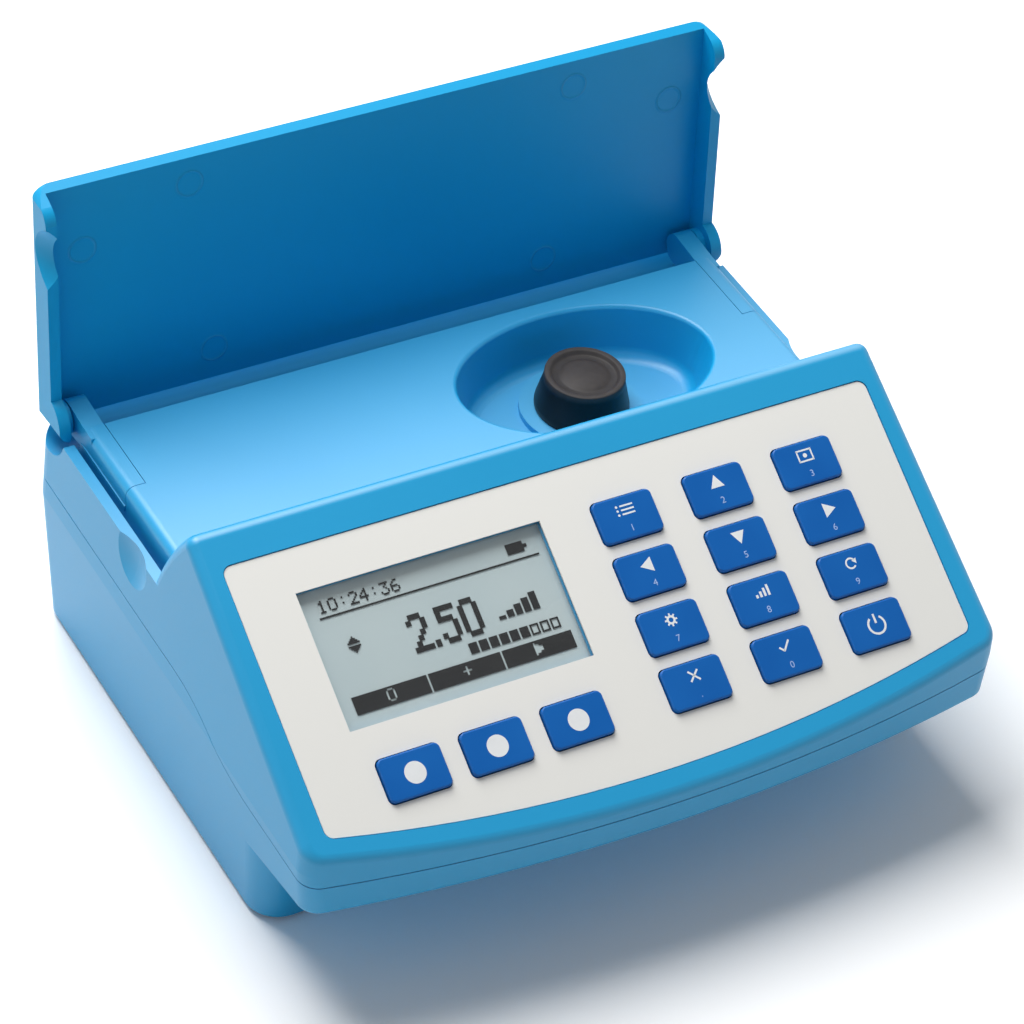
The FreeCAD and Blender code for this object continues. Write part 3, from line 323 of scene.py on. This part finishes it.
# The top's paler brown-grey tone, blotched by the dust noise; the sides stay black.
top_tone = cap_black.mix(dust, colour(0.024, 0.020, 0.019), colour(0.056, 0.047, 0.044))
cap_black.feed(Base_Color=cap_black.mix(top_side, colour(0.003, 0.003, 0.004), top_tone),
               Roughness=0.34 + 0.22 * top_side + 0.08 * dust,
               Normal=cap_black.bump(dust, 0.00003, 0.4))
print("cap worn above", round((cap_high.z - TOP_BAND) * 1000, 1), "mm")

# %% [markdown]
# ## Rubber, ink, plastic and optics
# Many small pieces need the same simple recipe: two near tones mixed by a blotchy noise, a roughness
# that follows it, and a fine grain. A table with a row for each finish keeps them easy to compare. The
# lamp, the lens and the light filter pass light and are told apart by their tone alone.

# %% Plain finishes
PLAIN = {
    # name: (dark tone, light tone, blotch scale, roughness, grain scale, grain depth, constants)
    "foot_rubber": ((0.012, 0.012, 0.013), (0.030, 0.030, 0.031), 90, 0.72, 1500, 0.00003, {}),
    "dome_silicone": ((0.30, 0.31, 0.31), (0.38, 0.39, 0.39), 60, 0.55, 900, 0.00003, {}),
    "dark_plastic": ((0.008, 0.008, 0.009), (0.020, 0.020, 0.021), 50, 0.48, 2400, 0.00003, {}),
    "cell_sleeve": ((0.020, 0.022, 0.026), (0.050, 0.052, 0.060), 40, 0.25, 500, 0.00003,
                    {"Coat_Weight": 0.6}),
    "legend_white": ((0.80, 0.82, 0.83), (0.88, 0.90, 0.91), 300, 0.5, 2600, 0.00001, {}),
    "legend_faint": ((0.34, 0.48, 0.78), (0.40, 0.54, 0.84), 300, 0.5, 2600, 0.00001, {}),
    "display_ink": ((0.002, 0.003, 0.004), (0.005, 0.006, 0.008), 200, 0.6, 2000, 0.00001,
                    {"Specular_IOR_Level": 0.1}),
    "lamp_clear": ((0.85, 0.84, 0.78), (0.92, 0.91, 0.86), 200, 0.05, 800, 0.00001,
                   {"Transmission_Weight": 0.8}),
    "lens_clear": ((0.90, 0.94, 0.96), (0.94, 0.97, 0.98), 200, 0.02, 800, 0.000005,
                   {"Transmission_Weight": 1.0}),
    "filter_blue": ((0.10, 0.25, 0.65), (0.16, 0.34, 0.75), 200, 0.04, 800, 0.000005,
                    {"Transmission_Weight": 0.6}),
}


def plain_finish(name, first, second, scale, rough, grain, depth, constants):
    finish = Finish(name, **constants)
    blotch = finish.noise(scale, 3.0)
    finish.feed(Base_Color=finish.mix(blotch, colour(*first), colour(*second)),
                Roughness=rough + 0.12 * blotch, Normal=finish.bump(finish.noise(grain), depth, 0.5))
    return finish


plain = {name: plain_finish(name, *row) for name, row in PLAIN.items()}
print("plain finishes:", len(plain))

# %% [markdown]
# ## Metal and boards
# Small screws and the hinge pins are zinc-plated steel: a metal with a faint haze. Circuit boards are
# green lacquer over copper tracks, which a grid of thin lines on Object coordinates can suggest, since
# the boards are seen only when the housing is opened.

# %% Steel and boards
TRACK_X, TRACK_Y = 0.0019, 0.0027

plated_steel = Finish("plated_steel", Metallic=1.0)
haze = plated_steel.noise(380.0, 4.0)
plated_steel.feed(Base_Color=plated_steel.mix(haze, colour(0.56, 0.56, 0.57), colour(0.70, 0.70, 0.70)),
                  Roughness=0.26 + 0.16 * haze, Normal=plated_steel.bump(haze, 0.00001, 0.4))

board_green = Finish("board_green", IOR=1.5, Coat_Weight=0.5)
board_x, board_y = (board_green.part(board_green.place, axis) for axis in "XY")
lines = line_grid(board_x, TRACK_X).high(line_grid(board_y, TRACK_Y))
tracks = lines * board_green.noise(80.0).above(0.5, 0.05)
board_green.feed(Base_Color=board_green.mix(tracks, colour(0.010, 0.085, 0.030), colour(0.030, 0.180, 0.060)),
                 Roughness=0.30 + 0.2 * tracks, Normal=board_green.bump(tracks, 0.00003, 0.5))
print("materials:", len(bpy.data.materials))

# %% [markdown]
# ## Hand out the finishes
# A node from the frame keeps its mesh, and only its material slot changes. One table says which finish
# each piece has, so that a reader can check it against the real object.

# %% Finishes of the solids
WEARS = {
    "housing_blue": "base_shell top_shell hinge_bracket_left hinge_bracket_right battery_door",
    "lid_blue": "lid",
    "label_film": "panel_overlay",
    "window_clear": "display_window",
    "display_grey": "display_module",
    "key_blue": "key_a1 key_up key_a3 key_left key_down key_right key_c1 key_c2 key_c3 key_d1 key_d2 "
                "key_power softkey_left softkey_middle softkey_right",
    "dome_silicone": "key_mat",
    "board_green": "key_board main_board lamp_board detector_board",
    "plated_steel": "panel_screws bracket_screws hinge_pin_left hinge_pin_right board_screws usb_socket "
                    "battery_contacts door_screws housing_screws",
    "vial_clear": "vial_glass", "water_clear": "vial_sample", "cap_black": "vial_cap",
    "dark_plastic": "cell_well detector board_chips",
    "lamp_clear": "lamp", "lens_clear": "lens", "filter_blue": "light_filter",
    "cell_sleeve": "battery_cells", "foot_rubber": "rubber_feet",
}
dressed = set()
for finish_name, names in WEARS.items():
    for name in names.split():
        nodes[name].data.materials.clear()
        nodes[name].data.materials.append(bpy.data.materials[finish_name])
        dressed.add(name)
print("dressed:", len(dressed), "bare:", sorted(set(nodes) - dressed))

# %% [markdown]
# ## The vial cap
# The real cap is a turned shape: a wide skirt, a long taper, a flat rim and a dish with a low button in
# it. Half of its section is drawn as a line of a few points, its corners are rounded by a bevel, and a
# spin turns it about the vial's axis. It takes the place of the plainer cap of the frame.

# %% From a bmesh to an object
MM = 0.001


def to_object(name, bm, finish):
    mesh = bpy.data.meshes.new(name)
    bm.to_mesh(mesh)
    bm.free()
    mesh.materials.append(finish.material)
    made = bpy.data.objects.new(name, mesh)
    bpy.context.scene.collection.objects.link(made)
    return made


print("sizes below are in mm and are multiplied by", MM)

# %% Turn the cap
def turned(name, outline, centre, rounding, finish, steps=72):
    bm = bmesh.new()
    points = [bm.verts.new((radius * MM, 0, z * MM)) for radius, z in outline]
    for first, second in zip(points, points[1:] + points[:1]):
        bm.edges.new((first, second))
    corners = [point for point in points if point.co.x > 2 * MM]
    bmesh.ops.bevel(bm, geom=corners, offset=rounding * MM, affect="VERTICES", segments=3, profile=0.5,
                    material=-1)
    inside = [e for e in bm.edges if all(v.co.x < 1e-7 for v in e.verts)]
    bmesh.ops.delete(bm, geom=inside, context="EDGES")
    bmesh.ops.spin(bm, geom=bm.verts[:] + bm.edges[:], cent=(0, 0, 0), axis=(0, 0, 1), angle=math.tau,
                   steps=steps, use_merge=True)
    bmesh.ops.remove_doubles(bm, verts=bm.verts, dist=1e-6)
    bmesh.ops.recalc_face_normals(bm, faces=bm.faces)
    bmesh.ops.translate(bm, vec=centre, verts=bm.verts)
    for face in bm.faces:
        face.smooth = True
    return to_object(name, bm, finish)


cap_middle = (cap_low + cap_high) / 2
roof = (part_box("vial_glass")[1].z - cap_low.z) / MM + 0.1
tall = (cap_high.z - cap_low.z) / MM
skirt = [(9.25, 0), (13.2, 0), (13.2, 1.5)]
taper = [(11.35, tall - 2.2), (11.2, tall), (9.7, tall)]
dish = [(8.9, tall - 1.1), (7.0, tall - 1.15), (5.8, tall - 0.62), (3.8, tall - 0.24), (1.9, tall - 0.06),
        (0, tall - 0.02)]
bore = [(0, roof), (9.25, roof)]
foot = (cap_middle.x, cap_middle.y, cap_low.z)
cap = turned("turned_cap", skirt + taper + dish + bore, foot, 0.35, cap_black)
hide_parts("vial_cap")
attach(cap, "vial")
print("cap height in mm:", round(tall, 2), "triangles:", sum(len(p.vertices) - 2 for p in cap.data.polygons))

# %% [markdown]
# ## The data socket
# In the rear wall sits a small socket, a folded steel tube with a black tongue in it. The frame has it
# as a block. Here a cube is fitted to that block's own box, its rear face is inset and pushed in, and
# the tongue is a second small piece in the hollow.

# %% Hollow the socket
SOCKET_HOLLOW, SOCKET_WALL, TONGUE_EDGE = 5.0, 0.45, 0.12


def boxed(name, low, high, finish, hollow=0.0, wall=0.0):
    bm = bmesh.new()
    bmesh.ops.create_cube(bm, size=1.0)
    bmesh.ops.scale(bm, vec=high - low, verts=bm.verts)
    bmesh.ops.translate(bm, vec=(low + high) / 2, verts=bm.verts)
    if hollow:
        rear = max(bm.faces, key=lambda f: f.normal.y)
        bmesh.ops.inset_region(bm, faces=[rear], thickness=wall * MM)
        pushed = bmesh.ops.extrude_discrete_faces(bm, faces=[rear])["faces"]
        bmesh.ops.translate(bm, vec=(0, -hollow * MM, 0), verts=pushed[0].verts)
    else:
        bmesh.ops.bevel(bm, geom=bm.edges[:], offset=TONGUE_EDGE * MM, affect="EDGES", segments=2,
                        profile=0.5, material=-1)
    made = to_object(name, bm, finish)
    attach(made, "housing")
    return made


socket_low, socket_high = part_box("usb_socket")
shell = boxed("socket_shell", socket_low, socket_high, plated_steel, SOCKET_HOLLOW, SOCKET_WALL)
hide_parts("usb_socket")
middle = (socket_low + socket_high) / 2
tongue_low = Vector((socket_low.x + 1.5 * MM, socket_high.y - 5.05 * MM, middle.z - 0.45 * MM))
tongue_high = Vector((socket_high.x - 1.5 * MM, socket_high.y - 0.7 * MM, middle.z + 0.45 * MM))
boxed("socket_tongue", tongue_low, tongue_high, plain["dark_plastic"])
print("socket in mm:", [round(v * 1000, 1) for v in socket_high - socket_low])

# %% [markdown]
# ## Tools for thin print
# Ink on a key or dots on the display are a few hundredths of a millimetre thick. Each mark is drawn flat
# in the panel's frame, where x runs across and y up the slope, then given its thickness and laid on the
# surface that carries it. Drawing flat keeps the numbers readable, and one matrix puts all of it in place.

# %% Measure on the panel
def in_panel(name):
    back = panel_frame.inverted()
    return [back @ v.co for v in nodes[name].data.vertices]


def top_centre(name):
    points = in_panel(name)
    top = max(p.z for p in points)
    rim = [p for p in points if p.z > top - 0.00002]
    middle = [(min(p[i] for p in rim) + max(p[i] for p in rim)) / 2 for i in (0, 1)]
    return Vector((middle[0], middle[1], top))


print("top of the first key in the panel's frame, mm:", [round(v * 1000, 2) for v in top_centre("key_a1")])

# %% [markdown]
# ## Three shapes make every sign
# A bar, a disc and an open or closed ring are enough for all the signs. A disc of three sides is an
# arrowhead. One function draws a shape at the origin, then turns it and moves it to its place.

# %% Bar, disc and ring
def bar(bm, wide, high):
    made = bmesh.ops.create_grid(bm, x_segments=1, y_segments=1, size=0.5)["verts"]
    bmesh.ops.scale(bm, vec=(wide * MM, high * MM, 1), verts=made)


def disc(bm, radius, sides=40):
    bmesh.ops.create_circle(bm, cap_ends=True, segments=sides, radius=radius * MM)


def ring(bm, inner, outer, start=0.0, sweep=360.0, steps=40):
    ends = [bm.verts.new((radius * MM, 0, 0)) for radius in (inner, outer)]
    bmesh.ops.rotate(bm, cent=(0, 0, 0), matrix=Matrix.Rotation(math.radians(start), 3, "Z"), verts=ends)
    bmesh.ops.spin(bm, geom=[*ends, bm.edges.new(ends)], cent=(0, 0, 0), axis=(0, 0, 1),
                   angle=math.radians(sweep), steps=steps, use_merge=sweep > 359.9)


def put(bm, x, y, turn, draw, *sizes):
    before = set(bm.verts)
    draw(bm, *sizes)
    made = [v for v in bm.verts if v not in before]
    bmesh.ops.rotate(bm, cent=(0, 0, 0), matrix=Matrix.Rotation(math.radians(turn), 3, "Z"), verts=made)
    bmesh.ops.translate(bm, vec=(x * MM, y * MM, 0), verts=made)


print("shapes: bar, disc, ring")

# %% [markdown]
# ## Lay a mark on its surface
# A flat drawing is turned to face up, extruded by the thickness of the ink, and moved by the panel's
# matrix. It starts a hundredth of a millimetre below the surface, so that no slit shows under it.

# %% Print a mark
INK, SUNK = 0.00003, 0.00001


def print_mark(name, draw, lift, ride_on, finish):
    bm = bmesh.new()
    draw(bm)
    bmesh.ops.recalc_face_normals(bm, faces=bm.faces)
    for face in bm.faces:
        if face.normal.z < 0:
            face.normal_flip()
    grown = bmesh.ops.extrude_face_region(bm, geom=bm.faces[:])
    tops = [v for v in grown["geom"] if isinstance(v, bmesh.types.BMVert)]
    bmesh.ops.translate(bm, vec=(0, 0, INK), verts=tops)
    bmesh.ops.recalc_face_normals(bm, faces=bm.faces)
    bmesh.ops.transform(bm, matrix=panel_frame @ Matrix.Translation(lift), verts=bm.verts)
    mark = to_object(name, bm, finish)
    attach(mark, ride_on)
    return mark


print("ink in mm:", INK * 1000)

# %% [markdown]
# ## What the display shows
# The display has 128 by 64 dots, each half a millimetre. A picture on it is a set of dots that are dark,
# so numbers are written by a small 5 by 7 dot font and bars by filling blocks. Each row of a letter is
# two hexadecimal digits, whose five lower bits are its dots.

# %% A font of dots
COLUMNS, ROWS = 128, 64
LETTER_STEP = 6
FONT = {
    "0": "0E 11 11 11 11 11 0E", "1": "04 0C 04 04 04 04 0E", "2": "0E 11 01 02 04 08 1F",
    "3": "1F 02 04 02 01 11 0E", "4": "02 06 0A 12 1F 02 02", "5": "1F 10 1E 01 01 11 0E",
    "6": "06 08 10 1E 11 11 0E", ":": "00 04 00 00 04 00 00", ">": "10 1C 1F 1F 1F 1C 10",
    "+": "00 04 04 1F 04 04 00",
}
dark = set()


def fill(left, top, right, bottom, on=True):
    for column in range(left, right + 1):
        for row in range(top, bottom + 1):
            (dark.add if on else dark.discard)((column, row))


def write(text, left, top, wide=1, high=1, on=True):
    for place, letter in enumerate(text):
        for row, code in enumerate(FONT[letter].split()):
            for column in range(5):
                if int(code, 16) >> (4 - column) & 1:
                    x, y = left + (place * LETTER_STEP + column) * wide, top + row * high
                    fill(x, y, x + wide - 1, y + high - 1, on)


print("letters in the font:", len(FONT))

# %% Dark dots
# The clock, the line under it and the battery.
write("10:24:36", 1, 0)
fill(0, 9, COLUMNS - 1, 9)
fill(111, 0, 120, 5)
fill(121, 2, 122, 3)
# The diamond, the large number with its point, and the rising bars.
for step in range(4):
    fill(12 - step, 23 + step, 12 + step, 23 + step)
    fill(12 - step, 31 - step, 12 + step, 31 - step)
for number, left in (("2", 43), ("5", 60), ("0", 73)):
    for shift in (0, 1):
        write(number, left + shift, 21, 2, 3)
fill(55, 38, 57, 41)
for step in range(5):
    fill(93 + step * 5, 36 - step * 2, 96 + step * 5, 37)
# A row of nine blocks, of which the last three are hollow.
for step in range(9):
    fill(71 + step * 6, 45, 75 + step * 6, 50)
    if step > 5:
        fill(72 + step * 6, 46, 74 + step * 6, 49, False)
# The dark foot in three fields, each with a pale sign.
fill(0, 54, COLUMNS - 1, ROWS - 1)
for left in (43, 86):
    fill(left, 54, left, ROWS - 1, False)
for sign, left in (("0", 19), ("+", 63), (">", 105)):
    write(sign, left, 55, on=False)
print("dark dots:", len(dark))

# %% [markdown]
# ## The image as one mesh
# One grid has a face for each dot. The pale dots are deleted, and an inset draws each dark one back a
# little from its neighbours, as the dots of a real display are kept apart by a hairline.

# %% Lay the image on the glass
DOT_WIDE, DOT_HIGH, DOT_GAP = 0.495, 0.487, 0.008
IMAGE_LEFT, IMAGE_TOP = -74.70, -25.06

glass_top = max(p.z for p in in_panel("display_module"))


def dot_of(face):
    place = face.calc_center_median()
    return (round((place.x / (DOT_WIDE * MM) + COLUMNS / 2) - 0.5),
            round((ROWS / 2 - place.y / (DOT_HIGH * MM)) - 0.5))


def draw_image(bm):
    bmesh.ops.create_grid(bm, x_segments=COLUMNS, y_segments=ROWS, size=0.5)
    bmesh.ops.scale(bm, vec=(COLUMNS * DOT_WIDE * MM, ROWS * DOT_HIGH * MM, 1), verts=bm.verts)
    pale = [face for face in bm.faces if dot_of(face) not in dark]
    bmesh.ops.delete(bm, geom=pale, context="FACES")
    rims = bmesh.ops.inset_individual(bm, faces=bm.faces[:], thickness=DOT_GAP * MM)["faces"]
    bmesh.ops.delete(bm, geom=rims, context="FACES")


image_middle = Vector(((IMAGE_LEFT + COLUMNS * DOT_WIDE / 2) * MM, (IMAGE_TOP - ROWS * DOT_HIGH / 2) * MM,
                       glass_top - SUNK))
ink = plain["display_ink"]
image = print_mark("display_image", draw_image, image_middle, "housing", ink)
print("image at", [round(v * 1000, 2) for v in image_middle], "faces", len(image.data.polygons))

# %% [markdown]
# ## Print on the keys
# White ink on each key: a sign above the middle and a small digit below it, as on a keypad for numbers.
# Arrows stand on the four keys that move through a menu. The digits are real text, turned into a mesh
# before it is placed.

# %% Signs
STROKE = 0.45


def arrow(bm, turn):
    put(bm, 0, 0, turn, disc, 2.35, 3)


def sign_list(bm):
    for y in (-1.15, 0, 1.15):
        put(bm, 0.6, y, 0, bar, 3.8, STROKE)
        put(bm, -2.3, y, 0, disc, 0.34, 12)


def sign_frame(bm):
    for side in (-1, 1):
        put(bm, side * 2.1, 0, 0, bar, STROKE, 3.0)
        put(bm, 0, side * 1.5, 0, bar, 4.65, STROKE)
    put(bm, 0, 0, 0, disc, 0.62, 16)


def sign_wheel(bm):
    put(bm, 0, 0, 0, ring, 0.65, 1.25)
    for turn in range(0, 360, 45):
        angle = math.radians(turn)
        put(bm, 1.5 * math.cos(angle), 1.5 * math.sin(angle), turn, bar, 0.6, 0.48)


def sign_turn(bm):
    put(bm, 0, 0, 0, ring, 1.15, 1.62, 30, 290, 30)
    put(bm, 1.3, 0.45, 200, disc, 0.9, 3)


def sign_cross(bm):
    for turn in (45, -45):
        put(bm, 0, 0, turn, bar, 4.0, 0.52)


def sign_power(bm):
    put(bm, 0, 0, 0, ring, 2.15, 2.75, 125, 290, 40)
    put(bm, 0, 1.8, 0, bar, 0.62, 2.6)


def sign_tick(bm):
    put(bm, -1.1, -0.5, 45, bar, 0.52, 1.7)
    put(bm, 0.5, 0.15, -40, bar, 0.52, 3.5)


def sign_bars(bm):
    for step in range(4):
        high = 0.9 + step * 0.7
        put(bm, -1.8 + step * 1.2, -1.5 + high / 2, 0, bar, 0.7, high)


print("signs drawn from bars, discs and rings")

# %% Digits
DIGIT_HIGH, CAPITAL_SHARE = 1.8, 0.7


def digit(bm, text):
    curve = bpy.data.curves.new("digit", "FONT")
    curve.body, curve.size = text, DIGIT_HIGH * MM / CAPITAL_SHARE
    curve.align_x, curve.align_y = "CENTER", "CENTER"
    holder = bpy.data.objects.new("digit", curve)
    bpy.context.scene.collection.objects.link(holder)
    bpy.context.view_layer.update()
    mesh = bpy.data.meshes.new_from_object(holder.evaluated_get(bpy.context.evaluated_depsgraph_get()))
    bm.from_mesh(mesh)
    bmesh.ops.remove_doubles(bm, verts=bm.verts, dist=1e-7)
    bpy.data.objects.remove(holder)
    bpy.data.curves.remove(curve)
    bpy.data.meshes.remove(mesh)


print("digits", DIGIT_HIGH, "mm high")

# %% Print the keys
DIGIT_BELOW, DOT_RADIUS = 3.2, 2.95
SIGNS = {
    # key: (sign, how far above the middle it stands, digit)
    "key_a1": (sign_list, 2.0, "1"),
    "key_up": (lambda b: arrow(b, 0), 1.7, "2"),
    "key_a3": (sign_frame, 2.0, "3"),
    "key_left": (lambda b: arrow(b, 90), 1.9, "4"),
    "key_down": (lambda b: arrow(b, 180), 2.3, "5"),
    "key_right": (lambda b: arrow(b, -90), 1.9, "6"),
    "key_c1": (sign_wheel, 2.0, "7"),
    "key_c2": (sign_bars, 2.0, "8"),
    "key_c3": (sign_turn, 2.0, "9"),
    "key_d1": (sign_cross, 2.0, "."),
    "key_d2": (sign_tick, 2.0, "0"),
    "key_power": (sign_power, 0.0, ""),
}
white, faint = plain["legend_white"], plain["legend_faint"]
for key, (sign, up, number) in SIGNS.items():
    centre = top_centre(key)
    print_mark(key + "_sign", sign, centre + Vector((0, up * MM, -SUNK)), key, white)
    if number:
        below = centre + Vector((0, -DIGIT_BELOW * MM, -SUNK))
        print_mark(key + "_digit", lambda b: digit(b, number), below, key, faint)
for key in ("softkey_left", "softkey_middle", "softkey_right"):
    centre = top_centre(key) - Vector((0, 0, SUNK))
    print_mark(key + "_dot", lambda b: disc(b, DOT_RADIUS), centre, key, white)

# %% [markdown]
# ## The floor
# A wide white sheet. The camera sees it a little whiter than it lights the object, so that the paper
# beside the shadow is pure white. Far from the object, where the lamp hardly reaches, it shows plain
# white of its own. Its underside is clear, so that the object can also be looked at from below.

# %% Floor
FAR_FROM, FAR_SOFT = 0.55, 0.20
BLACK, WHITE, BRIGHT = colour(0, 0, 0), colour(1, 1, 1), colour(1.08, 1.08, 1.08)

floor_white = Finish("floor_white", Specular_IOR_Level=0.1, Emission_Strength=1.0)
paper = floor_white.mix(floor_white.noise(3.0), colour(0.86, 0.86, 0.86), colour(0.88, 0.88, 0.88))
seen = floor_white.node("ShaderNodeLightPath", out="Is Camera Ray")
distance = floor_white.node("ShaderNodeVectorMath", {0: floor_white.place}, out=1, operation="LENGTH")
far = distance.above(FAR_FROM, FAR_SOFT)
floor_white.feed(Base_Color=floor_white.mix(seen, paper, floor_white.mix(far, BRIGHT, BLACK)),
                 Emission_Color=floor_white.mix(seen * far, BLACK, WHITE),
                 Roughness=0.85 + 0.05 * floor_white.noise(40.0))
mixed_with_clear(floor_white, floor_white.front())

bm = bmesh.new()
bmesh.ops.create_grid(bm, x_segments=1, y_segments=1, size=6.0)
floor = to_object("floor", bm, floor_white)
print("floor reaches", floor.dimensions.x / 2, "m to each side")

# %% [markdown]
# ## The sky
# A weak, even sky lights the object from all round. The camera, mirrors and glass see another one: white
# near the horizon, so that polished pieces have something bright to show, and dim overhead, so that the
# window doesn't mirror a white sky over the display.

# %% Sky
SKY_LIGHT, SKY_OVERHEAD = 0.28, 0.12
HIGH_FROM, HIGH_TO = 0.68, 0.86

world = bpy.data.worlds.new("sky")
bpy.context.scene.world = world
world.use_nodes = True
tree = world.node_tree
tree.nodes.clear()
shown, lit, path, blend, out, ways, parts, dim = (tree.nodes.new("ShaderNode" + kind) for kind in (
    "Background", "Background", "LightPath", "MixShader",
    "OutputWorld", "TexCoord", "SeparateXYZ", "MapRange"))
shown.inputs["Color"].default_value = WHITE
lit.inputs["Color"].default_value, lit.inputs["Strength"].default_value = colour(0.97, 0.985, 1.0), SKY_LIGHT
rays = path.outputs["Is Camera Ray"]
for kind in ("Is Glossy Ray", "Is Transmission Ray"):
    either = tree.nodes.new("ShaderNodeMath")
    either.operation = "MAXIMUM"
    tree.links.new(rays, either.inputs[0])
    tree.links.new(path.outputs[kind], either.inputs[1])
    rays = either.outputs[0]
limits = {"From Min": HIGH_FROM, "From Max": HIGH_TO, "To Min": 1.0, "To Max": SKY_OVERHEAD}
for socket, value in limits.items():
    dim.inputs[socket].default_value = value
for source, target in (
        (ways.outputs["Generated"], parts.inputs[0]), (parts.outputs["Z"], dim.inputs["Value"]),
        (dim.outputs["Result"], shown.inputs["Strength"]), (rays, blend.inputs[0]),
        (lit.outputs[0], blend.inputs[1]), (shown.outputs[0], blend.inputs[2]),
        (blend.outputs[0], out.inputs["Surface"])):
    tree.links.new(source, target)
print("sky light", SKY_LIGHT)

# %% [markdown]
# ## The lamp
# One large soft lamp stands high behind the object and a little to its left, so that the deck is bright,
# the lid's inner face is dark, and the shadow falls forward and to the right.

# %% Lamp
def lamp(name, where, aim, size, watts):
    light = bpy.data.lights.new(name, "AREA")
    light.shape, light.size, light.energy = "SQUARE", size, watts
    holder = bpy.data.objects.new(name, light)
    holder.location = where
    holder.rotation_euler = (Vector(aim) - Vector(where)).to_track_quat("-Z", "Y").to_euler()
    bpy.context.scene.collection.objects.link(holder)
    print(name, "of", watts, "W")


lamp("soft_lamp", (-0.12, 0.50, 1.02), (0, 0, 0.06), 0.75, 16.0)

# %% [markdown]
# ## The camera
# A long lens from the front left and above, as in the photograph. Its three axes and its place were
# found by fitting corners of the panel, the keys, the cup and the lid.

# %% Camera
RIGHT, UP, FORWARD = (Vector(way) for way in (
    (0.8751, -0.4767, 0.0832), (0.2602, 0.6086, 0.7496), (0.408, 0.6343, -0.6567)))

camera = bpy.data.cameras.new("camera")
camera.sensor_width, camera.lens, camera.clip_start = 36.0, 152.87, 0.01
eye = bpy.data.objects.new("camera", camera)
turn = Matrix((RIGHT, UP, -FORWARD)).transposed()
eye.location, eye.rotation_euler = (-0.4724, -0.73012, 0.8238), turn.to_euler()
bpy.context.scene.collection.objects.link(eye)
bpy.context.scene.camera = eye
bpy.context.scene.view_settings.view_transform = "Standard"
print("lens in mm:", round(camera.lens, 2))
